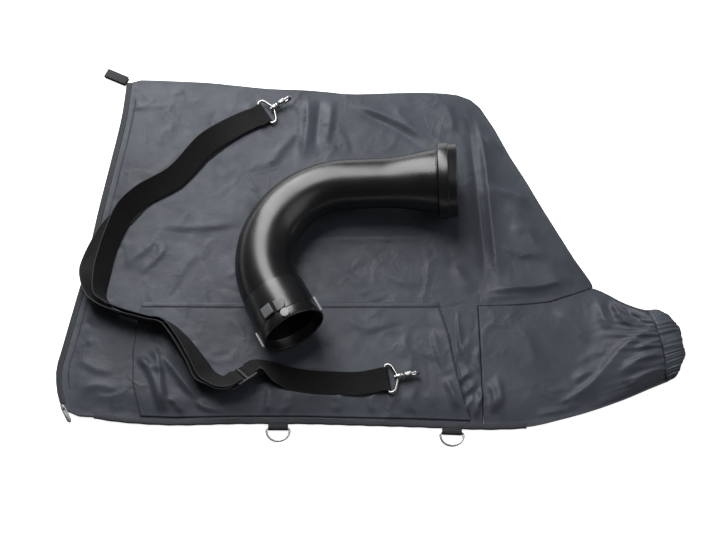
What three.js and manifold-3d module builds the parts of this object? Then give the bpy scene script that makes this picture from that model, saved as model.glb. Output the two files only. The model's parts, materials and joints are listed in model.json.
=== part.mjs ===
// Leaf vacuum collection bag, laid flat with its shoulder strap and elbow duct on it.
// Millimetres. X runs along the bag from the zipped end to the gathered neck, Y across it, Z up.
// Plan points are measured from the middle of the bag. The finished part stands on Z = 0.
import * as THREE from 'three';
import Module from 'manifold-3d';
import { mergeVertices } from 'three/addons/utils/BufferGeometryUtils.js';

const wasm = await Module();
wasm.setup();

const GAP = 0.3;

// Cloth panels
const CLOTH = 1.2;
const BINDING = 1.0;
const BINDING_REACH = 8;
const BACK_LOW = BINDING + GAP;
const RIM_LOW = BACK_LOW + CLOTH + GAP;
const RIM_TOP = RIM_LOW + CLOTH;
const BAG_TOP = 9.2;
const RIM_FLAT = 10;
const RISE = 38;
const POCKET_GAP = 0.7;
const POCKET_TOP = BAG_TOP + POCKET_GAP + CLOTH;
const NECK_TOP = 30;
const NECK_START_X = 330;

// Bag outline in plan
const ZIP_EDGE = [
  [-446, -236], [-457, -213], [-463, -172], [-456, -132], [-440, -50],
  [-430, 0], [-417, 95], [-403, 181], [-389, 270], [-384, 338],
];
const BOTTOM_EDGE = [
  [-446, -236], [-430, -244], [-404, -246], [-355, -253], [-282, -257],
  [-185, -255], [-88, -255], [-15, -257], [82, -260], [187, -264],
];
const TOP_EDGE = [
  [-384, 338], [-363, 344], [-336, 343], [-256, 339], [-203, 333], [-149, 327],
  [-96, 325], [-43, 320], [-10, 317], [90, 320], [143, 318], [162, 315],
];
const GUSSET_EDGE = [[187, -264], [186, -160], [184, -66]];
const NECK_SEAM = [[249, -64], [296, -59], [336, -45], [366, -33]];
const SLANT_EDGE = [
  [362, -21], [339, 17], [316, 61], [292, 107], [269, 154], [244, 200],
  [220, 252], [198, 291], [183, 306], [162, 315],
];
const NECK_BOTTOM = [[187, -264], [252, -262], [301, -251], [350, -237], [400, -219], [438, -203], [470, -190]];
const NECK_CREST = [[366, -33], [386, -43], [410, -58], [435, -69], [447, -72]];

// Gathered cuff
const CUFF_LENGTH = 36;
const CUFF_GATHERS = 22;
const CUFF_RIPPLE = 1.8;
const CUFF_BASE_Z = 5.2;
const ELASTIC_WIDTH = 16;
const ELASTIC_THICK = 1.0;

// Reinforcing pocket panel on the lower front
const POCKET_HEM = [[-339, -60], [-200, -61], [-50, -61], [120, -60]];
const POCKET_LEFT = [[-333, -245], [-347, -196], [-350, -139], [-345, -89], [-339, -60]];
const POCKET_RIGHT = [[167, -252], [158, -225], [143, -158], [136, -115], [120, -60]];
const POCKET_FOOT = [[-333, -245], [-282, -247], [-185, -245], [-88, -245], [-15, -247], [82, -249], [167, -252]];

// Folds: plan line, rise and half width
const FRONT_FOLDS = [
  { line: [[-86, 290], [-87, 252], [-92, 191]], rise: 3.5, half: 18 },
  { line: [[-45, 285], [-49, 260], [-57, 210]], rise: 2.5, half: 16 },
  { line: [[-25, 285], [41, 268], [122, 224]], rise: 2.5, half: 18 },
  { line: [[-158, 175], [-122, 219], [-100, 232]], rise: 3, half: 18 },
  { line: [[184, 262], [201, 124], [214, 6], [217, -30]], rise: 4.5, half: 17 },
  { line: [[205, 228], [228, 208]], rise: 2.5, half: 14 },
  { line: [[205, 138], [258, 124]], rise: 2.5, half: 14 },
  { line: [[-60, 48], [32, 50], [159, 52]], rise: 1.6, half: 12 },
  { line: [[-310, 71], [-255, 69], [-205, 78]], rise: 2.5, half: 13 },
  { line: [[-312, 64], [-328, 40]], rise: 2.5, half: 12 },
];
const NECK_FOLDS = [
  { line: [[452, -112], [400, -142], [351, -196], [310, -222]], rise: 6, half: 20 },
  { line: [[328, -196], [341, -180], [368, -172]], rise: 4, half: 15 },
  { line: [[398, -74], [404, -90], [421, -108]], rise: 5, half: 14 },
  { line: [[200, -185], [206, -215]], rise: 5, half: 15 },
];
const POCKET_FOLDS = [
  { line: [[-332, -150], [-318, -175], [-308, -212], [-304, -232]], rise: 6, half: 13 },
  { line: [[-318, -135], [-300, -160], [-262, -218]], rise: 6, half: 13 },
  { line: [[-205, -236], [-190, -238]], rise: 3, half: 9 },
  { line: [[-138, -222], [-142, -236]], rise: 3, half: 9 },
  { line: [[128, -182], [140, -210], [148, -232]], rise: 5, half: 11 },
];

// Zip on the left edge
const TAPE_WIDTH = 9;
const TAPE_OUT = 3.6;
const COIL_OUT = 1.2;
const TAPE_THICK = 0.8;
const COIL_WIDTH = 2.6;
const COIL_HEIGHT = RIM_TOP - BACK_LOW;
const SLIDER_LENGTH = 12;
const SLIDER_WALL = 1.0;
const PULL_LENGTH = 26;
const PULL_WIDTH = 7;
const PULL_THICK = 1.4;
const PULL_DROOP = 4;

// Hanging loop at the top corner
const LOOP_WIDTH = 15;
const LOOP_LENGTH = 40;
const LOOP_CLEAR = 5;
const LOOP_AT = [-387, 341];
const LOOP_HEADING = 155;

// D-rings on the lower edge
const RING_X = [-124, 139];
const RING_TAB_WIDTH = 30;
const RING_WIRE = 3.4;
const RING_INSIDE = 32;
const RING_DEPTH = 20;
const RING_BAR_OUT = 9;
const TAB_THICK = 1.2;

// Shoulder strap
const STRAP_WIDTH = 38;
const STRAP_THICK = 1.8;

// Snap hooks at both ends of the strap
const EYE_WIRE = 4.4;
const EYE_INSIDE = 41;
const EYE_DEPTH = 17;
const BARREL_R = 5.2;
const BARREL_LENGTH = 8;
const STEM_R = 2.4;
const STEM_HEAD_R = 3.9;
const RUN = 0.3;
const BASE_R = 5.4;
const BASE_LENGTH = 5;
const GATE_Z = 3.4;
const GATE_TUBE_R = 3.5;
const GATE_TUBE_LENGTH = 12;
const HOOK_MOUTH = 4.6;
const BOLT_R = 1.9;
const BOLT_TRAVEL = 5;
const BOLT_SIDES = 12;
const KNOB_R = 1.4;
const KNOB_TOP = 8.6;
const KNOB_BACK = 2.6;
const HOOK_BACK_Z = -6;
const HOOK_WIRE = 4.6;
const HOOK_REACH = 24;
const HOOK_BEND = 170;
const UPPER_HOOK = { at: [-156.6, 274.7], heading: 32.4, tilt: 9 };
const LOWER_HOOK = { at: [40.5, -189], heading: 9, tilt: 9 };
const HOOK_LEAD = 40;
const HOOK_SEWN = 8;
const HOOK_TURN_IN = 30;

// Tri-glide that the strap runs through
const GLIDE = { at: [-178, -186], heading: 36, lean: 42, rise: 19 };
const GLIDE_LENGTH = 34;
const GLIDE_INSIDE = 40.5;
const GLIDE_BAR = 3.4;
const GLIDE_THICK = 2.6;
const GLIDE_LEAD = 8;
const TAIL_LENGTH = 13;

// Elbow duct
const DUCT_AT = [153, 122.5];
const DUCT_RISE_X = 0.078;
const DUCT_RISE_Y = -0.06;
const DUCT_SEAT = 0.5;
const DUCT_STRAIGHT = 172;
const DUCT_BEND_R = 129;
const DUCT_TURN = 118;
const DUCT_TAIL = 71;
const DUCT_WALL = 2.6;
const DUCT_R = 39.5;
const CONE_START = 116;
const FLANGE_R = 60;
const FLANGE_LIP = 8.5;
const FLANGE_LENGTH = 29;
const FLANGE_STEP = 2.2;
const CONE_END_R = FLANGE_R - FLANGE_LIP;
const BEAD_RISE = 2;
const BEAD_LENGTH = 3;
const COLLAR_LENGTH = 70;
const COLLAR_WALL = 3.2;
const MOUTH_R = 50.2;
const MOUTH_LENGTH = 16.5;
const MOUTH_STEP = 0.7;
const COLLAR_R = MOUTH_R - MOUTH_STEP;
const COLLAR_SWELL = 2.5;
const DUCT_END_R = COLLAR_R - COLLAR_SWELL;
const STOP_SIZE = 17;
const STOP_HEIGHT = 4;
const STOP_BACK = 28;
const PAD_LENGTH = 18;
const PAD_WIDTH = 17;
const PAD_HEIGHT = 2.4;
const PAD_BACK = 26;
const PIN_R = 7;
const PIN_HEIGHT = 3.4;
const PIN_BACK = 2;
const LUG_LENGTH = 26;
const LUG_WIDTH = 5;
const LUG_HEIGHT = 3.5;

const deg = THREE.MathUtils.degToRad;

function material(color, roughness, metalness = 0) {
  return new THREE.MeshStandardMaterial({ color, roughness, metalness });
}
const CLOTH_GREY = () => material('#4c4f56', 0.62);
const TAPE_BLACK = () => material('#18191c', 0.8);
const WEBBING_BLACK = () => material('#1d1e21', 0.75);
const NICKEL = () => material('#c9cbcf', 0.22, 1);
const DUCT_BLACK = () => material('#141517', 0.35);
const LUG_GREY = () => material('#b9bcc0', 0.4);

// Mesh helpers

function geometry(points, faces) {
  const made = new THREE.BufferGeometry();
  const flat = points.flatMap((p) => [p.x, p.y, p.z]);
  made.setAttribute('position', new THREE.Float32BufferAttribute(flat, 3));
  made.setIndex(faces.flat());
  return made;
}

// Skin over rings of equal point count. The rings close on each other, or both ends are capped.
function loft(rings, closed = false) {
  const points = rings.flat();
  const around = rings[0].length;
  const faces = [];
  const spans = closed ? rings.length : rings.length - 1;
  for (let i = 0; i < spans; i += 1) {
    const here = i * around;
    const next = ((i + 1) % rings.length) * around;
    for (let j = 0; j < around; j += 1) {
      const k = (j + 1) % around;
      faces.push([here + j, here + k, next + k], [here + j, next + k, next + j]);
    }
  }
  if (!closed) {
    const last = (rings.length - 1) * around;
    for (let j = 1; j < around - 1; j += 1) {
      faces.push([0, j + 1, j], [last, last + j, last + j + 1]);
    }
  }
  return outward(geometry(points, faces));
}

// Turns all the faces over when the enclosed volume comes out negative.
function outward(shape) {
  const at = shape.getAttribute('position');
  const index = shape.getIndex();
  const [a, b, c] = [new THREE.Vector3(), new THREE.Vector3(), new THREE.Vector3()];
  let volume = 0;
  for (let i = 0; i < index.count; i += 3) {
    a.fromBufferAttribute(at, index.getX(i));
    b.fromBufferAttribute(at, index.getX(i + 1));
    c.fromBufferAttribute(at, index.getX(i + 2));
    volume += a.dot(b.cross(c));
  }
  if (volume < 0) {
    for (let i = 0; i < index.count; i += 3) {
      const kept = index.getX(i);
      index.setX(i, index.getX(i + 1));
      index.setX(i + 1, kept);
    }
  }
  return shape;
}

// Thin sheet: an upper and a lower grid of points, joined round the rim.
function sheet(across, along, upper, lower) {
  const points = [];
  const rows = along.length;
  for (const place of [upper, lower]) {
    for (const u of across) {
      for (const v of along) points.push(place(u, v));
    }
  }
  const layer = across.length * rows;
  const faces = [];
  for (let i = 0; i < across.length - 1; i += 1) {
    for (let j = 0; j < rows - 1; j += 1) {
      const p = i * rows + j;
      faces.push([p, p + rows, p + rows + 1], [p, p + rows + 1, p + 1]);
      faces.push([layer + p, layer + p + rows + 1, layer + p + rows], [layer + p, layer + p + 1, layer + p + rows + 1]);
    }
  }
  const rim = [];
  for (let i = 0; i < across.length - 1; i += 1) rim.push(i * rows);
  for (let j = 0; j < rows - 1; j += 1) rim.push((across.length - 1) * rows + j);
  for (let i = across.length - 1; i > 0; i -= 1) rim.push(i * rows + rows - 1);
  for (let j = rows - 1; j > 0; j -= 1) rim.push(j);
  rim.forEach((p, k) => {
    const q = rim[(k + 1) % rim.length];
    faces.push([p, layer + p, layer + q], [p, layer + q, q]);
  });
  return outward(geometry(points, faces));
}

// Leaves out the faces that a merge has closed up, as at a lathe's poles.
function wholeFaces(index) {
  const kept = [];
  for (let i = 0; i < index.length; i += 3) {
    const [a, b, c] = [index[i], index[i + 1], index[i + 2]];
    if (a !== b && b !== c && c !== a) kept.push(a, b, c);
  }
  return kept;
}

function solidOf(shape) {
  const bare = shape.clone();
  bare.deleteAttribute('normal');
  bare.deleteAttribute('uv');
  const merged = outward(mergeVertices(bare, 1e-4));
  return new wasm.Manifold(new wasm.Mesh({
    numProp: 3,
    vertProperties: merged.getAttribute('position').array,
    triVerts: new Uint32Array(wholeFaces(merged.getIndex().array)),
  }));
}

function geometryOf(solid) {
  const mesh = solid.getMesh();
  const made = new THREE.BufferGeometry();
  made.setAttribute('position', new THREE.BufferAttribute(new Float32Array(mesh.vertProperties), 3));
  made.setIndex(new THREE.BufferAttribute(new Uint32Array(mesh.triVerts), 1));
  return made;
}

function piece(name, shape, finish) {
  const mesh = new THREE.Mesh(shape, finish);
  mesh.name = name;
  return mesh;
}

// Plan curves

function smoothLine(points, count) {
  const curve = new THREE.SplineCurve(points.map(([x, y]) => new THREE.Vector2(x, y)));
  return curve.getSpacedPoints(count);
}

function polyline(points) {
  const path = new THREE.CurvePath();
  for (let i = 0; i < points.length - 1; i += 1) {
    path.add(new THREE.LineCurve(new THREE.Vector2(...points[i]), new THREE.Vector2(...points[i + 1])));
  }
  return path;
}

// Plan point at (u, v) of the patch between four edges.
function patch(bottom, top, left, right) {
  const edge = [bottom, top, left, right].map((points) => polyline(points));
  const corner = { bl: bottom[0], br: bottom.at(-1), tl: top[0], tr: top.at(-1) };
  return (u, v) => {
    const [b, t, l, r] = edge.map((line, k) => line.getPointAt(k < 2 ? u : v));
    const blend = (axis) => (1 - v) * b[axis] + v * t[axis] + (1 - u) * l[axis] + u * r[axis];
    const grid = (k) => (1 - u) * (1 - v) * corner.bl[k] + u * (1 - v) * corner.br[k]
      + (1 - u) * v * corner.tl[k] + u * v * corner.tr[k];
    return new THREE.Vector2(blend('x') - grid(0), blend('y') - grid(1));
  };
}

// Grid steps from 0 to 1, closer together near both ends. The nearest step moves onto each kept value.
function steps(count, crowd, kept = []) {
  const stops = Array.from({ length: count + 1 }, (_, i) => {
    const t = i / count;
    return t - crowd * Math.sin(2 * Math.PI * t) / (2 * Math.PI);
  });
  for (const value of kept) {
    const near = stops.reduce((best, stop, i) => (Math.abs(stop - value) < Math.abs(stops[best] - value) ? i : best), 0);
    stops[near] = value;
  }
  return stops;
}

// Share of a polyline's length at each of the wanted corners.
function sharesAt(points, corners) {
  const lengths = points.slice(1).map(([x, y], i) => Math.hypot(x - points[i][0], y - points[i][1]));
  const total = lengths.reduce((sum, length) => sum + length, 0);
  return corners.map((k) => lengths.slice(0, k).reduce((sum, length) => sum + length, 0) / total);
}

function distanceTo(points, x, y) {
  let best = Infinity;
  for (let i = 0; i < points.length - 1; i += 1) {
    const [ax, ay] = points[i];
    const [bx, by] = points[i + 1];
    const span = (bx - ax) ** 2 + (by - ay) ** 2;
    const t = THREE.MathUtils.clamp(((x - ax) * (bx - ax) + (y - ay) * (by - ay)) / span, 0, 1);
    best = Math.min(best, Math.hypot(x - ax - t * (bx - ax), y - ay - t * (by - ay)));
  }
  return best;
}

const ramp = (t) => THREE.MathUtils.smoothstep(t, 0, 1);
const asPairs = (points) => points.map((p) => [p.x, p.y]);

const zipLine = asPairs(smoothLine(ZIP_EDGE, 36));
const bottomLine = asPairs(smoothLine(BOTTOM_EDGE, 30));
const topLine = asPairs(smoothLine(TOP_EDGE, 26));
const neckLow = asPairs(smoothLine(NECK_BOTTOM, 16));
const neckHigh = asPairs(smoothLine(NECK_CREST, 6));
const closedEdges = [zipLine, bottomLine, topLine, neckLow, neckHigh, SLANT_EDGE];

const foldHeight = (folds, x, y) => folds.reduce((sum, fold) => {
  const q = distanceTo(fold.line, x, y) / fold.half;
  return q < 1 ? sum + fold.rise * (1 - q * q) ** 2 : sum;
}, 0);

// Height of the bag's upper surface without its folds.
function plainTop(x, y) {
  const inside = Math.min(...closedEdges.map((line) => distanceTo(line, x, y)));
  const full = BAG_TOP + (NECK_TOP - BAG_TOP) * ramp((x - NECK_START_X) / (460 - NECK_START_X));
  return RIM_TOP + (full - RIM_TOP) * ramp((inside - RIM_FLAT) / RISE);
}

// Bag body

const bodyRight = [...GUSSET_EDGE, ...NECK_SEAM, ...SLANT_EDGE];
const bodyPatch = patch(bottomLine, topLine, zipLine, bodyRight);
const seamCorners = sharesAt(bodyRight, [2, 3, 4, 5, 6]);

function frontPanel() {
  const height = (p) => plainTop(p.x, p.y) + foldHeight(FRONT_FOLDS, p.x, p.y);
  const upper = (u, v) => {
    const p = bodyPatch(u, v);
    return new THREE.Vector3(p.x, p.y, height(p));
  };
  const lower = (u, v) => upper(u, v).sub(new THREE.Vector3(0, 0, CLOTH));
  return piece('front_panel', sheet(steps(34, 0.74), steps(24, 0.74, seamCorners), upper, lower), CLOTH_GREY());
}

function backPanel() {
  const rim = [...bottomLine, ...GUSSET_EDGE.slice(1), ...NECK_SEAM, ...SLANT_EDGE,
    ...[...topLine].reverse().slice(1), ...[...zipLine].reverse().slice(1, -1)];
  const outline = new THREE.Shape(rim.map(([x, y]) => new THREE.Vector2(x, y)));
  const shape = new THREE.ExtrudeGeometry(outline, { depth: CLOTH, bevelEnabled: false });
  shape.translate(0, 0, BACK_LOW);
  return piece('back_panel', shape, CLOTH_GREY());
}

function pocketPanel() {
  const place = patch(POCKET_FOOT, POCKET_HEM, POCKET_LEFT, POCKET_RIGHT);
  const upper = (u, v) => {
    const p = place(u, v);
    const z = plainTop(p.x, p.y) + POCKET_GAP + CLOTH + foldHeight(POCKET_FOLDS, p.x, p.y);
    return new THREE.Vector3(p.x, p.y, z);
  };
  const lower = (u, v) => upper(u, v).sub(new THREE.Vector3(0, 0, CLOTH));
  return piece('pocket_panel', sheet(steps(30, 0.4), steps(10, 0.4), upper, lower), CLOTH_GREY());
}

// Neck sleeve: a flattened tube that opens into the body at one end and into the cuff at the other.
const NECK_SHIFT = 0.4;
const neckFoot = neckLow.map(([x, y]) => [x + NECK_SHIFT, y]);
const neckLeft = GUSSET_EDGE.map(([x, y]) => [x + NECK_SHIFT, y]);
const neckTop = [...[GUSSET_EDGE.at(-1), ...NECK_SEAM].map(([x, y]) => [x + NECK_SHIFT, y - 0.8]),
  ...neckHigh.slice(1).map(([x, y]) => [x + NECK_SHIFT, y])];
const neckMouth = [neckFoot.at(-1), neckTop.at(-1)];
const neckPatch = patch(neckFoot, neckTop, neckLeft, neckMouth);

const neckFloor = (u) => BACK_LOW + (CUFF_BASE_Z - CLOTH - BACK_LOW) * ramp((u - 0.75) / 0.25);

function neckRing(u, inset) {
  const count = 12;
  const ring = [];
  const edge = inset === 0 ? 0 : 0.012;
  const stops = steps(count, 0.6).map((v) => edge + v * (1 - 2 * edge));
  for (const v of stops) {
    const p = neckPatch(u, v);
    const z = plainTop(p.x, p.y) + foldHeight(NECK_FOLDS, p.x, p.y) - inset;
    ring.push(new THREE.Vector3(p.x, p.y, Math.max(z, neckFloor(u) + CLOTH + GAP + 1.2 - inset)));
  }
  for (const v of [0.985, 0.75, 0.5, 0.25, 0.015]) {
    const p = neckPatch(u, v);
    ring.push(new THREE.Vector3(p.x, p.y, neckFloor(u) + inset));
  }
  return ring;
}

function neckSleeve() {
  const stops = steps(14, 0.3, sharesAt(neckTop, [1, 2, 3, 4]));
  const outer = stops.map((u) => neckRing(u, 0));
  const inner = stops.map((u) => neckRing(u, CLOTH));
  return piece('neck_sleeve', loft([...outer, ...inner.reverse()], true), CLOTH_GREY());
}

// Cuff: a folded casing round the mouth of the neck, gathered by the elastic inside it.
const mouthLow = new THREE.Vector2(...neckMouth[0]);
const mouthHigh = new THREE.Vector2(...neckMouth[1]);
const mouthAcross = mouthHigh.clone().sub(mouthLow).normalize();
const mouthOut = new THREE.Vector2(mouthAcross.y, -mouthAcross.x);
const mouthMiddle = mouthLow.clone().add(mouthHigh).multiplyScalar(0.5);
const MOUTH_HALF = mouthLow.distanceTo(mouthHigh) / 2 - 3;
const MOUTH_RISE = (NECK_TOP - 4 - CUFF_BASE_Z) / 2;

// Point of the cuff at angle t round the mouth, out along the neck, and off the mouth line.
function cuffPoint(t, out, off) {
  const ripple = CUFF_RIPPLE * Math.sin(CUFF_GATHERS * t) * ramp(out / 8);
  const square = 0.72;
  const c = Math.sign(Math.cos(t)) * Math.abs(Math.cos(t)) ** square;
  const s = Math.sign(Math.sin(t)) * Math.abs(Math.sin(t)) ** square;
  const narrow = 1 - 0.1 * ramp(out / CUFF_LENGTH);
  const lift = off + ripple * (s > -0.5 ? 1 : 0.25);
  const across = (MOUTH_HALF * narrow + lift) * c;
  const z = CUFF_BASE_Z + MOUTH_RISE + (MOUTH_RISE + lift) * s;
  const p = mouthMiddle.clone().addScaledVector(mouthAcross, across).addScaledVector(mouthOut, out + NECK_SHIFT);
  return new THREE.Vector3(p.x, p.y, z);
}

function ringOf(profile, stations) {
  const rings = Array.from({ length: stations }, (_, i) => {
    const t = 2 * Math.PI * (i + 0.25) / stations;
    return profile.map(([out, off]) => cuffPoint(t, out, off));
  });
  return loft(rings, true);
}

function cuff() {
  const half = CLOTH / 2;
  const end = CUFF_LENGTH;
  const casing = [
    [0.4, half], [0.5 * end, 3 + half], [0.85 * end, 2.2 + half], [end, -0.2], [0.85 * end, -3.2 - half],
    [8, -3.2 - half], [8, -3.2 + half], [0.82 * end, -3.2 + half], [end - 1.6, -0.2], [0.82 * end, 2.2 - half],
    [0.5 * end, 3 - half], [0.4, -half],
  ];
  const low = -3.2 + half + GAP;
  const from = 10;
  const elastic = [
    [from, low], [from + ELASTIC_WIDTH, low],
    [from + ELASTIC_WIDTH, low + ELASTIC_THICK], [from, low + ELASTIC_THICK],
  ];
  return [
    piece('cuff_casing', ringOf(casing, 66), CLOTH_GREY()),
    piece('cuff_elastic', ringOf(elastic, 66), material('#e4e2dc', 0.8)),
  ];
}

// Strips along a plan edge. Each profile point is [out of the bag, height].

function edgeStrip(line, profile) {
  const rings = line.map(([x, y], i) => {
    const [ax, ay] = line[Math.max(i - 1, 0)];
    const [bx, by] = line[Math.min(i + 1, line.length - 1)];
    const along = new THREE.Vector2(bx - ax, by - ay).normalize();
    return profile.map(([out, z]) => new THREE.Vector3(x + out * along.y, y - out * along.x, z));
  });
  return loft(rings);
}

const box = (lowOut, highOut, lowZ, highZ) => [
  [lowOut, lowZ], [highOut, lowZ], [highOut, highZ], [lowOut, highZ],
];

function bottomBinding() {
  const line = asPairs(smoothLine([...BOTTOM_EDGE.slice(2), NECK_BOTTOM[1]], 26));
  const legIn = -BINDING_REACH;
  const inner = 0.6;
  const top = RIM_TOP + GAP;
  const profile = [
    [legIn, 0], [inner + BINDING, 0], [inner + BINDING, top + BINDING], [legIn, top + BINDING],
    [legIn, top], [inner, top], [inner, BINDING], [legIn, BINDING],
  ];
  return piece('bottom_binding', edgeStrip(line, profile), TAPE_BLACK());
}

const reverseZip = [...zipLine].reverse();

function zip() {
  const tapeLine = reverseZip.slice(0, -2);
  const coilLine = reverseZip;
  const low = RIM_TOP + GAP;
  return [
    piece('zip_tape_front', edgeStrip(tapeLine, box(-TAPE_WIDTH + TAPE_OUT, TAPE_OUT, low, low + TAPE_THICK)), TAPE_BLACK()),
    piece('zip_tape_back', edgeStrip(tapeLine, box(-TAPE_WIDTH + TAPE_OUT, TAPE_OUT, 0, TAPE_THICK)), TAPE_BLACK()),
    piece('zip_coil', edgeStrip(coilLine, box(COIL_OUT, COIL_OUT + COIL_WIDTH, BACK_LOW, BACK_LOW + COIL_HEIGHT)), TAPE_BLACK()),
  ];
}

// Slider: a flat tube round the end of the coil, with a bail for the pull on its top.
const zipEnd = zipLine[0];
const zipEndHeading = Math.atan2(zipLine[1][1] - zipEnd[1], zipLine[1][0] - zipEnd[0]);
const SLIDER_TOP = BACK_LOW + COIL_HEIGHT + GAP + SLIDER_WALL;
const BAIL_WIRE = 1.6;
const BAIL_RISE = 4.4;
const BAIL_HALF = 3.4;
const PULL_BAR = 1.3;
function boxBetween(low, high) {
  const size = high.map((value, k) => value - low[k]);
  const shape = new THREE.BoxGeometry(...size);
  return shape.translate(...low.map((value, k) => value + size[k] / 2));
}

function slider() {
  const inner = COIL_WIDTH + 2 * GAP;
  const wide = inner / 2 + SLIDER_WALL;
  const low = BACK_LOW - GAP - SLIDER_WALL;
  const body = boxBetween([-wide, -SLIDER_LENGTH / 2, low], [inner / 2, SLIDER_LENGTH / 2, SLIDER_TOP]);
  const slot = boxBetween([-inner / 2, -SLIDER_LENGTH, BACK_LOW - GAP], [inner, SLIDER_LENGTH, SLIDER_TOP - SLIDER_WALL]);
  const bail = boxBetween([-BAIL_WIRE / 2, -BAIL_HALF, SLIDER_TOP - 0.5], [BAIL_WIRE / 2, BAIL_HALF, SLIDER_TOP + BAIL_RISE]);
  const under = boxBetween(
    [-BAIL_WIRE, -BAIL_HALF + BAIL_WIRE, SLIDER_TOP],
    [BAIL_WIRE, BAIL_HALF - BAIL_WIRE, SLIDER_TOP + BAIL_RISE - BAIL_WIRE],
  );
  const made = solidOf(body).add(solidOf(bail)).subtract(solidOf(slot)).subtract(solidOf(under));
  return piece('zip_slider', geometryOf(made), NICKEL());
}

// Pull: a flat tab whose end bar lies under the bail. It is drawn along local Y from the bar's axis.
const pullAxisZ = SLIDER_TOP + (BAIL_RISE - BAIL_WIRE) / 2;
function zipPull() {
  const half = PULL_WIDTH / 2;
  const outline = new THREE.Shape([
    [-half, -PULL_BAR / 2], [half, -PULL_BAR / 2], [half, PULL_LENGTH - 3], [half - 2, PULL_LENGTH],
    [2 - half, PULL_LENGTH], [-half, PULL_LENGTH - 3],
  ].map(([x, y]) => new THREE.Vector2(x, y)));
  const tab = new THREE.ExtrudeGeometry(outline, { depth: PULL_THICK, bevelEnabled: false });
  tab.translate(0, 0, -PULL_THICK / 2);
  const eyeHalf = BAIL_WIRE / 2 + 0.5;
  const eye = boxBetween([-eyeHalf, PULL_BAR / 2, -PULL_THICK], [eyeHalf, BAIL_HALF + 1.4, PULL_THICK]);
  const mesh = piece('zip_pull', geometryOf(solidOf(tab).subtract(solidOf(eye))), NICKEL());
  mesh.position.z = pullAxisZ;
  return mesh;
}

// Hanging loop: a folded strip, with its two plies sewn to the corner.
function hangingLoop() {
  const outer = LOOP_CLEAR / 2 + TAB_THICK;
  const bend = (radius, count) => Array.from({ length: count + 1 }, (_, i) => {
    const t = -Math.PI / 2 + Math.PI * i / count;
    return new THREE.Vector2(LOOP_LENGTH - outer + radius * Math.cos(t), outer + radius * Math.sin(t));
  });
  const outline = new THREE.Shape([
    new THREE.Vector2(0, 0), ...bend(outer, 8), new THREE.Vector2(0, 2 * outer),
    new THREE.Vector2(0, 2 * outer - TAB_THICK), ...bend(LOOP_CLEAR / 2, 8).reverse(), new THREE.Vector2(0, TAB_THICK),
  ]);
  const shape = new THREE.ExtrudeGeometry(outline, { depth: LOOP_WIDTH, bevelEnabled: false });
  shape.rotateX(Math.PI / 2);
  shape.translate(0, LOOP_WIDTH / 2, 0);
  const mesh = piece('hanging_loop', shape, WEBBING_BLACK());
  mesh.position.set(LOOP_AT[0], LOOP_AT[1], 0);
  mesh.rotation.z = deg(LOOP_HEADING);
  return mesh;
}

// D-rings: a straight bar held in the fold of a webbing tab, and a bow that swings on it.

const ringBarZ = TAB_THICK + GAP + RING_WIRE / 2;

// Place on the lower edge: the group's X runs along the edge, and its origin is on the ring's bar.
function ringFrame(x) {
  const at = bottomLine.findIndex((p) => p[0] > x);
  const [[ax, ay], [bx, by]] = [bottomLine[at - 1], bottomLine[at]];
  const slope = (by - ay) / (bx - ax);
  const group = new THREE.Group();
  group.position.set(x, ay + slope * (x - ax) - RING_BAR_OUT, ringBarZ);
  group.rotation.z = Math.atan(slope);
  return group;
}

function wire(points, radius, sides = 8, closed = true) {
  const curve = new THREE.CurvePath();
  const loop = closed ? [...points, points[0]] : points;
  for (let i = 0; i < loop.length - 1; i += 1) curve.add(new THREE.LineCurve3(loop[i], loop[i + 1]));
  const ringAt = (i) => {
    const count = points.length;
    const before = points[closed ? (i + count - 1) % count : Math.max(i - 1, 0)];
    const after = points[closed ? (i + 1) % count : Math.min(i + 1, count - 1)];
    const along = after.clone().sub(before).normalize();
    const side = new THREE.Vector3(0, 0, 1).cross(along);
    if (side.length() < 0.01) side.set(0, 1, 0);
    side.normalize();
    const up = along.clone().cross(side);
    return Array.from({ length: sides }, (_, k) => {
      const t = 2 * Math.PI * (k + 0.5) / sides;
      return points[i].clone().addScaledVector(side, radius * Math.cos(t)).addScaledVector(up, radius * Math.sin(t));
    });
  };
  return loft(points.map((_, i) => ringAt(i)), closed);
}

function dRing(name) {
  const half = RING_INSIDE / 2 + RING_WIRE / 2;
  const bow = Array.from({ length: 13 }, (_, i) => {
    const t = Math.PI * i / 12;
    return new THREE.Vector3(-half * Math.cos(t), -3 - (RING_DEPTH - 3) * Math.sin(t), 0);
  });
  const loop = [new THREE.Vector3(half - 1.5, 0, 0), new THREE.Vector3(1.5 - half, 0, 0), ...bow];
  return piece(name, wire(loop, RING_WIRE / 2), NICKEL());
}

function ringTab(name) {
  const inner = RING_WIRE / 2 + GAP;
  const outer = inner + TAB_THICK;
  const reach = RING_BAR_OUT - BINDING - 1;
  const bend = (radius, count) => Array.from({ length: count + 1 }, (_, i) => {
    const t = Math.PI / 2 + Math.PI * i / count;
    return new THREE.Vector2(radius * Math.cos(t), radius * Math.sin(t));
  });
  const outline = new THREE.Shape([
    new THREE.Vector2(reach, outer), ...bend(outer, 8), new THREE.Vector2(reach, -outer),
    new THREE.Vector2(reach, -inner), ...bend(inner, 8).reverse(), new THREE.Vector2(reach, inner),
  ]);
  const shape = new THREE.ExtrudeGeometry(outline, { depth: RING_TAB_WIDTH, bevelEnabled: false });
  shape.rotateX(Math.PI / 2);
  shape.rotateZ(Math.PI / 2);
  shape.translate(-RING_TAB_WIDTH / 2, 0, 0);
  return piece(name, shape, WEBBING_BLACK());
}

// Snap hook, built along local X from its eye bar, with Y across the strap.

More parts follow.
